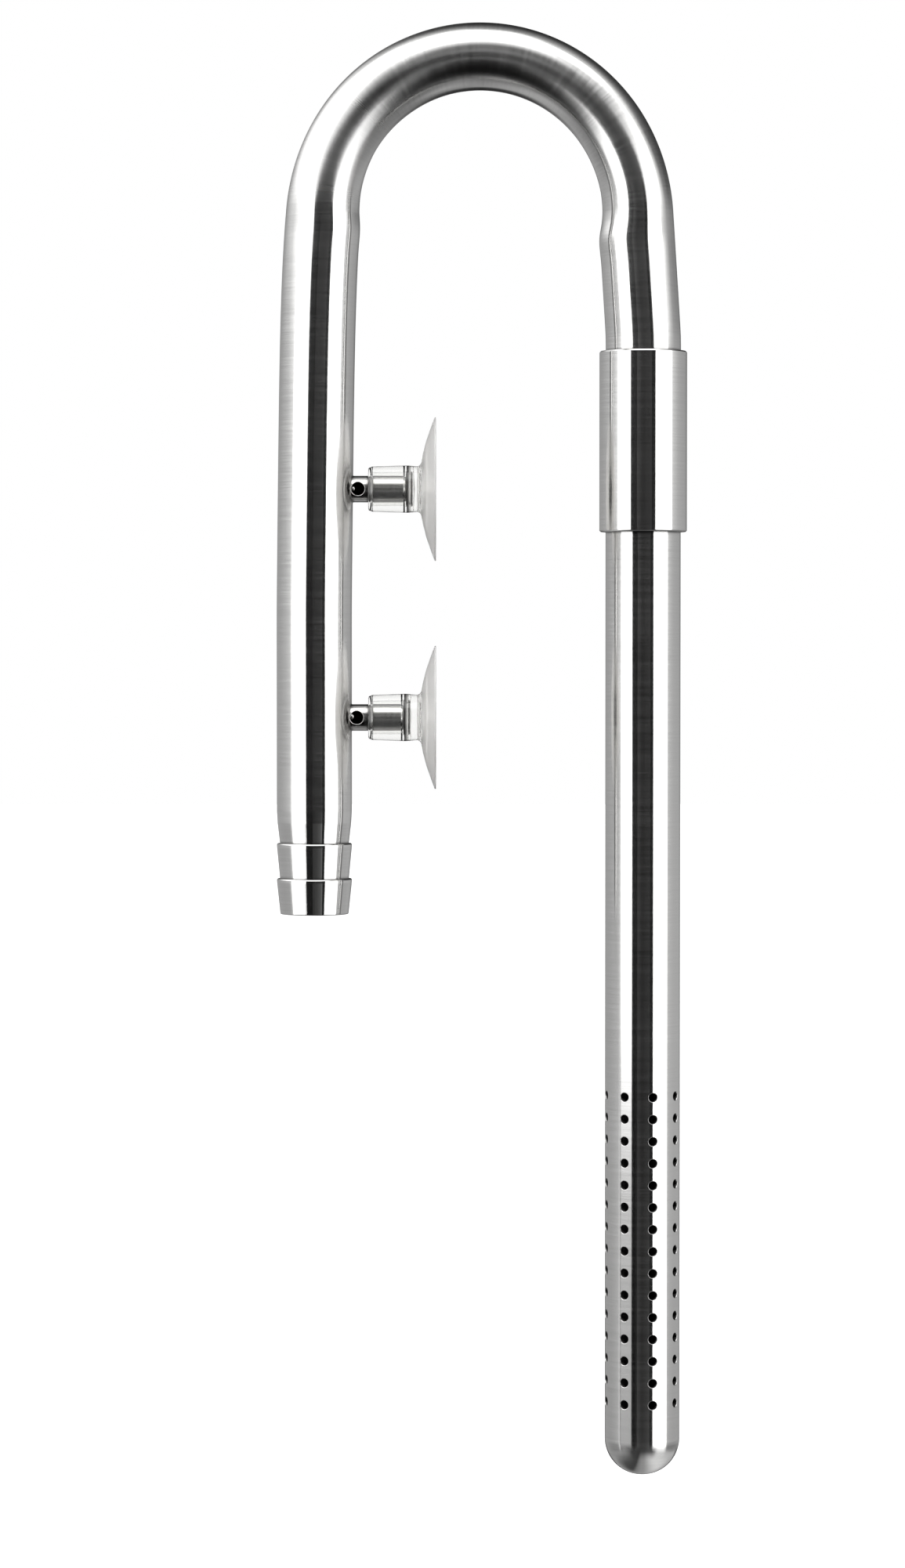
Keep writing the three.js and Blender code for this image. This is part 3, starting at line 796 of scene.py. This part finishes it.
def grain_noise(nodes, links, source, scale, detail=2.0, rough=0.5, noise=1.0):
    mapping = nodes.new("ShaderNodeMapping")
    mapping.inputs["Scale"].default_value = scale
    links.new(source, mapping.inputs["Vector"])
    tex = nodes.new("ShaderNodeTexNoise")
    tex.inputs["Scale"].default_value = noise
    tex.inputs["Detail"].default_value = detail
    tex.inputs["Roughness"].default_value = rough
    links.new(mapping.outputs["Vector"], tex.inputs["Vector"])
    return tex.outputs["Fac"]


def remap(nodes, links, value, a, b, c, d):
    node = nodes.new("ShaderNodeMapRange")
    for key, v in (("From Min", a), ("From Max", b), ("To Min", c), ("To Max", d)):
        node.inputs[key].default_value = v
    links.new(value, node.inputs["Value"])
    return node.outputs["Result"]


def math_node(nodes, links, op, a, b=None, c=None):
    node = nodes.new("ShaderNodeMath")
    node.operation = op
    for k, v in enumerate((a, b, c)):
        if v is None:
            continue
        if isinstance(v, (int, float)):
            node.inputs[k].default_value = v
        else:
            links.new(v, node.inputs[k])
    return node.outputs[0]


def mix_colour(nodes, links, fac, a, b):
    node = nodes.new("ShaderNodeMix")
    node.data_type = "RGBA"
    for key, v in ((0, fac), (6, a), (7, b)):
        if isinstance(v, (tuple, float, int)):
            node.inputs[key].default_value = v
        else:
            links.new(v, node.inputs[key])
    return node.outputs[2]


def steel_material(name, base, rough, aniso, hair, tangent=True, line=(5.0, 0.1), bump=0.16, worn=0.05):
    """Metal with a grain of fine lines that run round the piece, with painted shade: darker in creases and near-black
    where flagged inside.
    """
    m, nodes, links, bsdf = new_material(name)
    grain = nodes.new("ShaderNodeAttribute")
    grain.attribute_name = "grain"
    v = grain.outputs["Vector"]
    fine = grain_noise(nodes, links, v, (line[0], line[1], line[1]), 3.0, 0.6)
    wide = grain_noise(nodes, links, v, (line[0] * 0.27, line[1] * 0.8, line[1] * 0.8), 2.0, 0.5)
    cloud = grain_noise(nodes, links, v, (0.05, 0.11, 0.11), 3.0, 0.55)
    lines = math_node(nodes, links, "ADD", math_node(nodes, links, "MULTIPLY", fine, 0.62), math_node(nodes, links, "MULTIPLY", wide, 0.38))
    # roughness: base, lines, slow change
    r1 = remap(nodes, links, lines, 0.3, 0.7, -hair, hair)
    r2 = remap(nodes, links, cloud, 0.3, 0.7, -worn, worn)
    both = math_node(nodes, links, "ADD", r1, r2)
    scaled = math_node(nodes, links, "MULTIPLY_ADD", both, rough, rough)
    tint = nodes.new("ShaderNodeAttribute")
    tint.attribute_name = "tint"
    satin = nodes.new("ShaderNodeAttribute")
    satin.attribute_name = "satin"
    inside = nodes.new("ShaderNodeAttribute")
    inside.attribute_name = "inside"
    hot = math_node(nodes, links, "MULTIPLY_ADD", tint.outputs["Fac"], 0.08, scaled)
    hazed = math_node(nodes, links, "MULTIPLY_ADD", satin.outputs["Fac"], 0.2, hot)
    links.new(math_node(nodes, links, "MULTIPLY_ADD", inside.outputs["Fac"], 0.4, hazed), bsdf.inputs["Roughness"])
    bright = remap(nodes, links, lines, 0.3, 0.7, 0.0, 1.0)
    dark = tuple(c * (1 - 0.07) for c in base) + (1.0,)
    light = tuple(min(1, c * (1 + 0.05)) for c in base) + (1.0,)
    colour = mix_colour(nodes, links, bright, dark, light)
    burnt = mix_colour(nodes, links, math_node(nodes, links, "MULTIPLY", tint.outputs["Fac"], 0.62), colour, (0.22, 0.205, 0.19, 1))
    # painted shade: faces flagged inside take a near-black base colour and a rougher finish, standing in for the unlit
    # bores, hole walls and hollows
    shown = mix_colour(nodes, links, inside.outputs["Fac"], burnt, (0.045, 0.044, 0.043, 1))
    # painted shade: an ambient occlusion test darkens the base colour towards near-black in creases, at the sleeve
    # rims, the peg roots and the barb shoulders
    crease_shade_ao = nodes.new("ShaderNodeAmbientOcclusion")
    crease_shade_ao.samples = 8
    crease_shade_ao.inputs["Distance"].default_value = 0.0008
    open_ = remap(nodes, links, crease_shade_ao.outputs["AO"], 0.5, 0.92, 0.0, 1.0)
    links.new(mix_colour(nodes, links, open_, (0.06, 0.058, 0.055, 1), shown), bsdf.inputs["Base Color"])
    bsdf.inputs["Metallic"].default_value = 1.0
    if aniso:
        # drawn along the tube the lines are sharp, and the bend stretches them into a satin finish
        stretch = math_node(nodes, links, "MULTIPLY_ADD", satin.outputs["Fac"], -0.42, aniso)
        links.new(stretch, bsdf.inputs["Anisotropic"])
        tan = nodes.new("ShaderNodeTangent")
        tan.direction_type = "UV_MAP"
        tan.uv_map = "along"
        links.new(tan.outputs["Tangent"], bsdf.inputs["Tangent"])
    b = nodes.new("ShaderNodeBump")
    b.inputs["Strength"].default_value = bump
    b.inputs["Distance"].default_value = 0.00002
    links.new(lines, b.inputs["Height"])
    links.new(b.outputs["Normal"], bsdf.inputs["Normal"])
    return m


def pvc_material(name):
    """Clear soft PVC: glossy and clear in the socket, slightly smoky and frosted in the thin disc."""
    m, nodes, links, bsdf = new_material(name)
    grain = nodes.new("ShaderNodeAttribute")
    grain.attribute_name = "grain"
    v = grain.outputs["Vector"]
    tint = nodes.new("ShaderNodeAttribute")
    tint.attribute_name = "tint"
    frost = tint.outputs["Fac"]
    ripple = grain_noise(nodes, links, v, (0.3, 0.16, 0.16), 1.0, 0.4)
    speck = grain_noise(nodes, links, v, (1.6, 1.6, 1.6), 3.0, 0.6)
    rough = math_node(nodes, links, "MULTIPLY_ADD", frost, 0.26, 0.015)
    rough = math_node(nodes, links, "ADD", rough, remap(nodes, links, speck, 0.4, 0.7, 0.0, 0.03))
    links.new(rough, bsdf.inputs["Roughness"])
    split = nodes.new("ShaderNodeSeparateXYZ")
    links.new(v, split.inputs[0])
    square = [math_node(nodes, links, "MULTIPLY", split.outputs[k], split.outputs[k]) for k in (1, 2)]
    radius = math_node(nodes, links, "SQRT", math_node(nodes, links, "ADD", *square))
    thin = mix_colour(nodes, links, remap(nodes, links, radius, 6.0, 15.0, 0.0, 1.0), (0.93, 0.915, 0.885, 1), (0.99, 0.985, 0.975, 1))
    colour = mix_colour(nodes, links, frost, (0.985, 0.985, 0.97, 1), thin)
    shade = remap(nodes, links, speck, 0.35, 0.7, 0.0, 0.1)
    colour = mix_colour(nodes, links, math_node(nodes, links, "MULTIPLY", shade, frost), colour, (0.78, 0.76, 0.72, 1))
    links.new(colour, bsdf.inputs["Base Color"])
    links.new(math_node(nodes, links, "MULTIPLY_ADD", frost, -0.3, 1.0), bsdf.inputs["Transmission Weight"])
    bsdf.inputs["IOR"].default_value = 1.52
    b = nodes.new("ShaderNodeBump")
    links.new(math_node(nodes, links, "MULTIPLY_ADD", frost, -0.19, 0.2), b.inputs["Strength"])
    b.inputs["Distance"].default_value = 0.0003
    links.new(ripple, b.inputs["Height"])
    links.new(b.outputs["Normal"], bsdf.inputs["Normal"])
    return m


def rubber_material(name):
    m, nodes, links, bsdf = new_material(name)
    grain = nodes.new("ShaderNodeAttribute")
    grain.attribute_name = "grain"
    v = grain.outputs["Vector"]
    speck = grain_noise(nodes, links, v, (3.0, 3.0, 3.0), 4.0, 0.65)
    dust = grain_noise(nodes, links, v, (0.4, 0.6, 0.6), 2.0, 0.5)
    colour = mix_colour(nodes, links, remap(nodes, links, dust, 0.4, 0.75, 0, 1), (0.012, 0.012, 0.013, 1), (0.03, 0.03, 0.031, 1))
    links.new(colour, bsdf.inputs["Base Color"])
    links.new(remap(nodes, links, speck, 0.3, 0.7, 0.38, 0.62), bsdf.inputs["Roughness"])
    b = nodes.new("ShaderNodeBump")
    b.inputs["Strength"].default_value = 0.3
    b.inputs["Distance"].default_value = 0.00003
    links.new(speck, b.inputs["Height"])
    links.new(b.outputs["Normal"], bsdf.inputs["Normal"])
    return m


TUBE_STEEL = steel_material("tube_steel", (0.70, 0.697, 0.69), 0.145, 1.0, 0.22, line=(4.5, 0.09))
TURNED_STEEL = steel_material("turned_steel", (0.715, 0.712, 0.705), 0.132, 1.0, 0.16, line=(7.0, 0.05), bump=0.12)
PEG_STEEL = steel_material("peg_steel", (0.68, 0.675, 0.665), 0.15, 0.95, 0.2, line=(7.0, 0.1), bump=0.12)
CLEAR_PVC = pvc_material("clear_pvc")
SEAL_RUBBER = rubber_material("seal_rubber")


def finish_piece(obj, node, body, material):
    obj.data.materials.append(material)
    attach(obj, body)
    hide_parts(node)
    return obj


finish_piece(hook_pipe(), "hook_pipe", "hook", TUBE_STEEL)
finish_piece(hose_barb(), "hose_barb", "hook", TURNED_STEEL)
finish_piece(
    mount_peg("upper_mount_peg_fine", UPPER_Z, UPPER_FLANGE_X, (-18.72, -2.2, 0.03, 0.52)),
    "upper_mount_peg", "hook", PEG_STEEL,
)
finish_piece(
    mount_peg("lower_mount_peg_fine", LOWER_Z, LOWER_FLANGE_X, (-19.05, -2.15, 0.22, 0.64)),
    "lower_mount_peg", "hook", PEG_STEEL,
)
finish_piece(suction_cup("upper_suction_cup_fine", UPPER_Z, UPPER_FLANGE_X, 0.0), "upper_suction_cup", "upper_cup", CLEAR_PVC)
finish_piece(suction_cup("lower_suction_cup_fine", LOWER_Z, LOWER_FLANGE_X, 0.03), "lower_suction_cup", "lower_cup", CLEAR_PVC)
finish_piece(coupling_sleeve(), "coupling_sleeve", "coupling", TURNED_STEEL)
for node, body in (
    ("hook_side_outer_o_ring", "hook_side_seals"),
    ("hook_side_inner_o_ring", "hook_side_seals"),
    ("strainer_side_inner_o_ring", "strainer_side_seals"),
    ("strainer_side_outer_o_ring", "strainer_side_seals"),
):
    low, high = low_high(node)
    finish_piece(o_ring(node + "_fine", (low[2] + high[2]) / 2), node, body, SEAL_RUBBER)
finish_piece(strainer_tube(), "strainer_tube", "strainer", TUBE_STEEL)
finish_piece(strainer_end_cap(), "strainer_end_cap", "strainer", TUBE_STEEL)


# ---------- studio ----------
# The light that metal mirrors, as grey levels by azimuth (0 is towards the camera, + is to the right) at a few elevations.
REFLECTS = 0.68
W = 330  # over-white: a softbox
STUDIO = [
    (-90, [(-180, 85), (180, 85)]),
    (-72, [(-180, 118), (-120, 100), (-90, 72), (-60, 42), (-30, 20), (10, 18), (40, 34), (70, 62), (100, 110), (140, 130), (180, 118)]),
    (-53, [(-180, 125), (-150, 160), (-125, 165), (-105, 110), (-75, 44), (-50, 18), (-25, 10), (30, 10), (65, 20), (90, 60), (120, 100), (150, 160), (180, 125)]),
    (-43, [(-180, 140), (-150, 158), (-125, 155), (-95, 88), (-70, 36), (-45, 18), (-20, 14), (10, 18), (40, 20), (58, 44), (74, 80), (85, 92), (110, 110), (150, 118), (180, 140)]),
    (-35, [(-180, 50), (-165, 70), (-150, 150), (-115, 128), (-90, 98), (-70, 66), (-45, 34), (-20, 15), (5, 18), (28, 20), (40, 34), (50, 84), (72, 150), (86, 100), (120, 113), (150, 110), (165, 70), (180, 50)]),
    (-25, [(-180, 36), (-168, 44), (-156, 120), (-148, 145), (-110, 118), (-86, 116), (-76, 180), (-66, 215), (-46, 155), (-30, 100), (-14, 34), (8, 36), (24, 60), (36, 120), (46, 215), (72, 240), (80, 180), (86, 110), (120, 113), (148, 122), (156, 110), (168, 44), (180, 36)]),
    (-16, [(-180, 36), (-168, 44), (-156, 120), (-148, 143), (-110, 121), (-86, 119), (-79, 160), (-73, W), (-34, W), (-28, 170), (-20, 95), (-6, 70), (8, 74), (22, 100), (30, 160), (35, W), (76, W), (82, 150), (88, 118), (120, 118), (148, 122), (156, 110), (168, 44), (180, 36)]),
    (-9, [(-180, 50), (-160, 140), (-110, 150), (-84, 168), (-75, 192), (-71, W), (-25, W), (-22, 90), (-17, 26), (-5, 12), (1, 14), (6, 26), (24, 28), (27, 40), (28.5, W), (76.5, W), (80, 178), (105, 165), (140, 155), (164, 120), (180, 50)]),
    (-4, [(-180, 50), (-160, 145), (-110, 158), (-84, 170), (-75, 195), (-71, W), (-25, W), (-22, 90), (-17, 26), (-5, 12), (1, 14), (6, 28), (24, 30), (27, 42), (28.5, W), (77, W), (80.5, 182), (105, 175), (140, 165), (164, 125), (180, 50)]),
    (5, [(-180, 40), (-160, 140), (-110, 158), (-84, 170), (-75, 195), (-71, W), (-25, W), (-22, 100), (-17, 32), (-5, 18), (1, 20), (6, 32), (24, 34), (27, 46), (28.5, W), (77.5, W), (81, 180), (105, 160), (140, 140), (164, 95), (180, 40)]),
    (12, [(-180, 40), (-155, 140), (-130, 205), (-100, 240), (-80, W), (-37, W), (-30, 190), (-18, 125), (-6, 92), (10, 84), (24, 100), (31, 150), (36, W), (82, W), (94, 235), (108, 135), (128, 72), (150, 50), (180, 40)]),
    (22, [(-180, 40), (-150, 150), (-132, 245), (-110, W), (-46, W), (-32, 200), (-16, 120), (-4, 78), (10, 54), (22, 78), (34, 135), (44, 240), (52, W), (80, W), (90, 200), (105, 90), (130, 70), (155, 52), (180, 40)]),
    (33, [(-180, 34), (-165, 60), (-150, 200), (-135, 252), (-115, W), (-44, W), (-32, 200), (-16, 140), (0, 72), (12, 58), (26, 72), (40, 110), (52, 180), (64, 252), (76, W), (88, 200), (105, 105), (130, 78), (155, 50), (180, 34)]),
    (44, [(-180, 44), (-162, 70), (-143, 180), (-132, 252), (-110, W), (-48, W), (-36, 215), (-24, 200), (-8, 220), (8, 195), (28, 200), (44, 160), (58, 165), (72, 205), (90, 228), (104, 190), (120, 125), (140, 88), (160, 64), (180, 44)]),
    (54, [(-180, 64), (-158, 118), (-136, 220), (-126, W), (24, W), (32, 225), (42, 235), (54, W), (94, W), (106, 200), (118, 185), (132, 138), (158, 104), (180, 64)]),
    (67, [(-180, 118), (-160, 158), (-138, 200), (-124, 252), (-110, W), (92, W), (104, 215), (120, 185), (140, 160), (160, 128), (180, 118)]),
    (78, [(-180, 170), (-165, 240), (-150, W), (140, W), (152, 220), (164, 140), (180, 170)]),
    (86, [(-180, W), (180, W)]),
]


def studio_world():
    world = bpy.data.worlds.new("studio")
    bpy.context.scene.world = world
    world.use_nodes = True
    nodes, links = world.node_tree.nodes, world.node_tree.links
    nodes.clear()
    out = nodes.new("ShaderNodeOutputWorld")
    background = nodes.new("ShaderNodeBackground")
    links.new(background.outputs[0], out.inputs["Surface"])
    coords = nodes.new("ShaderNodeTexCoord")
    split = nodes.new("ShaderNodeSeparateXYZ")
    links.new(coords.outputs["Generated"], split.inputs[0])
    x, y, z = split.outputs
    az = math_node(nodes, links, "ARCTAN2", x, math_node(nodes, links, "MULTIPLY", y, -1.0))
    fac = math_node(nodes, links, "MULTIPLY_ADD", az, 1 / (2 * math.pi), 0.5)
    flat = math_node(nodes, links, "ARCSINE", z)
    el = math_node(nodes, links, "MULTIPLY", flat, 180 / math.pi)
    top = lin(W) / REFLECTS * 1.0001
    value, before = None, None
    for level, stops in STUDIO:
        ramp = nodes.new("ShaderNodeValToRGB")
        ramp.color_ramp.interpolation = "LINEAR"
        elements = ramp.color_ramp.elements
        for k, (a, v) in enumerate(stops):
            at = (a + 180) / 360
            e = elements[k] if k < 2 and k < len(elements) else elements.new(at)
            e.position = at
            g = lin(v) / REFLECTS / top
            e.color = (g, g, g, 1)
        links.new(fac, ramp.inputs["Fac"])
        if value is None:
            value = ramp.outputs["Color"]
        else:
            w = remap(nodes, links, el, before, level, 0.0, 1.0)
            value = mix_colour(nodes, links, w, value, ramp.outputs["Color"])
        before = level
    studio = nodes.new("ShaderNodeVectorMath")
    studio.operation = "SCALE"
    links.new(value, studio.inputs[0])
    studio.inputs["Scale"].default_value = top
    path = nodes.new("ShaderNodeLightPath")
    # a ray that has only passed through the clear cups still sees the white backdrop
    unturned = math_node(nodes, links, "LESS_THAN", path.outputs["Glossy Depth"], 0.5)
    shallow = math_node(nodes, links, "LESS_THAN", path.outputs["Transmission Depth"], 3.5)
    straight = math_node(nodes, links, "MAXIMUM", unturned, shallow)
    through = math_node(nodes, links, "MULTIPLY", path.outputs["Is Transmission Ray"], straight)
    seen = math_node(nodes, links, "MAXIMUM", path.outputs["Is Camera Ray"], through)
    links.new(mix_colour(nodes, links, seen, studio.outputs[0], (1.0, 1.0, 1.0, 1)), background.inputs["Color"])
    return world


studio_world()


def floor():
    """A wide pale floor under the hanging pipe, white enough to run into the background."""
    z = cad_low[2] - 0.061
    mesh = bpy.data.meshes.new("floor")
    s = 6.0
    mesh.from_pydata([(-s, -s, z), (s, -s, z), (s, s, z), (-s, s, z)], [], [(0, 1, 2, 3)])
    obj = bpy.data.objects.new("floor", mesh)
    bpy.context.scene.collection.objects.link(obj)
    m = bpy.data.materials.new("floor_white")
    m.use_nodes = True
    nodes, links = m.node_tree.nodes, m.node_tree.links
    nodes.clear()
    out = nodes.new("ShaderNodeOutputMaterial")
    add = nodes.new("ShaderNodeAddShader")
    glow = nodes.new("ShaderNodeEmission")
    glow.inputs["Color"].default_value = (1, 1, 1, 1)
    glow.inputs["Strength"].default_value = 0.83
    matt = nodes.new("ShaderNodeBsdfDiffuse")
    matt.inputs["Color"].default_value = (0.3, 0.3, 0.3, 1)
    links.new(glow.outputs[0], add.inputs[0])
    links.new(matt.outputs[0], add.inputs[1])
    links.new(add.outputs[0], out.inputs["Surface"])
    mesh.materials.append(m)
    obj.visible_glossy = False
    obj.visible_transmission = False
    obj.visible_diffuse = False
    obj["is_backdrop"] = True
    return obj


floor()


def card(name, corners, build):
    """A flat studio card that only the metal's own reflections meet. build gives the shader from the node tree."""
    mesh = bpy.data.meshes.new(name)
    mesh.from_pydata([tuple(c * MM for c in p) for p in corners], [], [(0, 1, 2, 3)])
    obj = bpy.data.objects.new(name, mesh)
    bpy.context.scene.collection.objects.link(obj)
    m = bpy.data.materials.new(name)
    m.use_nodes = True
    nodes, links = m.node_tree.nodes, m.node_tree.links
    nodes.clear()
    out = nodes.new("ShaderNodeOutputMaterial")
    links.new(build(nodes, links), out.inputs["Surface"])
    mesh.materials.append(m)
    for ray in ("camera", "diffuse", "transmission", "shadow", "volume_scatter"):
        setattr(obj, "visible_" + ray, False)
    obj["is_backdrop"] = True
    return obj


def level_ramp(nodes, links, value, low, high, stops, scale):
    fac = remap(nodes, links, value, low, high, 0.0, 1.0)
    ramp = nodes.new("ShaderNodeValToRGB")
    elements = ramp.color_ramp.elements
    for k, (at, v) in enumerate(stops):
        at = (at - low) / (high - low)
        e = elements[k] if k < 2 else elements.new(at)
        e.position = at
        g = lin(v) * scale
        e.color = (g, g, g, 1)
    links.new(fac, ramp.inputs["Fac"])
    return ramp.outputs["Color"]


def scrim(nodes, links):
    """Dims the left softbox low down, for the strainer, which hangs close to it."""
    place = nodes.new("ShaderNodeNewGeometry")
    at = nodes.new("ShaderNodeSeparateXYZ")
    links.new(place.outputs["Position"], at.inputs[0])
    height = math_node(nodes, links, "MULTIPLY", at.outputs["Z"], 1000.0)
    colour = level_ramp(nodes, links, height, -300, -100, [(-300, 150), (-250, 158), (-225, 172), (-185, 168), (-165, 205), (-145, 255), (-128, W), (-100, W)], 1 / lin(W))
    path = nodes.new("ShaderNodeLightPath")
    near = math_node(nodes, links, "LESS_THAN", path.outputs["Ray Length"], 0.32)
    clear = nodes.new("ShaderNodeBsdfTransparent")
    links.new(mix_colour(nodes, links, near, (1.0, 1.0, 1.0, 1), colour), clear.inputs["Color"])
    return clear.outputs[0]


def bounce(nodes, links):
    """A pale card close under the strainer's end. Near the axis it darkens to the left, and further out it repeats the bands above."""
    place = nodes.new("ShaderNodeNewGeometry")
    at = nodes.new("ShaderNodeSeparateXYZ")
    links.new(place.outputs["Position"], at.inputs[0])
    x = math_node(nodes, links, "MULTIPLY_ADD", at.outputs["X"], 1000.0, -INNER_LEG_X)
    y = math_node(nodes, links, "MULTIPLY", at.outputs["Y"], -1000.0)
    close = level_ramp(nodes, links, x, -40, 40, [(-40, 66), (-24, 54), (-18, 58), (-13, 112), (-4, 132), (6, 140), (14, 160), (22, 180), (32, 198), (40, 205)], 1 / REFLECTS)
    az = math_node(nodes, links, "MULTIPLY", math_node(nodes, links, "ARCTAN2", x, y), 180 / math.pi)
    far = level_ramp(nodes, links, az, -180, 180, [(-180, 140), (-80, 136), (-62, 126), (-50, 108), (-38, 54), (-5, 44), (10, 46), (34, 54), (41, 104), (48, 176), (60, 190), (84, 180), (120, 175), (180, 140)], 1 / REFLECTS)
    out = math_node(nodes, links, "SQRT", math_node(nodes, links, "ADD", math_node(nodes, links, "MULTIPLY", x, x), math_node(nodes, links, "MULTIPLY", y, y)))
    colour = mix_colour(nodes, links, remap(nodes, links, out, 50, 112, 0.0, 1.0), close, far)
    # the bright band on the right fades as the dome turns under
    right = math_node(nodes, links, "MULTIPLY", remap(nodes, links, az, 34, 46, 0.0, 1.0), remap(nodes, links, az, 92, 74, 0.0, 1.0))
    lift = math_node(nodes, links, "MULTIPLY_ADD", math_node(nodes, links, "MULTIPLY", right, remap(nodes, links, out, 110, 175, 0.0, 1.0)), 0.8, 1.0)
    glow = nodes.new("ShaderNodeEmission")
    links.new(colour, glow.inputs["Color"])
    links.new(lift, glow.inputs["Strength"])
    clear = nodes.new("ShaderNodeBsdfTransparent")
    path = nodes.new("ShaderNodeLightPath")
    near = math_node(nodes, links, "LESS_THAN", path.outputs["Ray Length"], 0.22)
    mix = nodes.new("ShaderNodeMixShader")
    links.new(near, mix.inputs[0])
    links.new(clear.outputs[0], mix.inputs[1])
    links.new(glow.outputs[0], mix.inputs[2])
    return mix.outputs[0]


def flag(nodes, links):
    """A dark flag beside the camera, which closes one side of the dark band in the straight tubes."""
    dark = nodes.new("ShaderNodeEmission")
    g = lin(22) / REFLECTS
    dark.inputs["Color"].default_value = (g, g, g, 1)
    return dark.outputs[0]


card("left_flag", [(-160, -292, -340), (-160, -292, 130), (-48, -292, 130), (-48, -292, -340)], flag)
card("right_flag", [(415, -634, -480), (415, -634, 235), (285, -634, 235), (285, -634, -480)], flag)
card("scrim", [(-136, -52, -320), (-136, -52, -100), (-20, -150, -100), (-20, -150, -320)], scrim)
card("bounce", [(-103, -150, -300), (197, -150, -300), (197, 150, -300), (-103, 150, -300)], bounce)

light = bpy.data.lights.new("overhead", "AREA")
light.shape = "RECTANGLE"
light.size, light.size_y = 0.9, 0.9
light.energy = 6.0
lamp = bpy.data.objects.new("overhead", light)
lamp.location = (-0.25, -0.35, 1.0)
lamp.rotation_euler = (Vector((0.26, 0.35, -1.2))).to_track_quat("-Z", "Y").to_euler()
lamp.visible_glossy = False
lamp.visible_transmission = False
bpy.context.scene.collection.objects.link(lamp)

camera = bpy.data.cameras.new("camera")
camera.sensor_width = 36.0
camera.lens = 106.3
camera.clip_start, camera.clip_end = 0.05, 50
eye, target = Vector((0.002, -1.05, -0.034)), Vector((0.00374, 0, -0.0668))
shot = bpy.data.objects.new("camera", camera)
shot.location = eye
shot.rotation_euler = (target - eye).to_track_quat("-Z", "Y").to_euler()
bpy.context.scene.collection.objects.link(shot)
bpy.context.scene.camera = shot
bpy.context.scene.view_settings.view_transform = "Standard"
bpy.context.scene.view_settings.look = "None"

low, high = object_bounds()
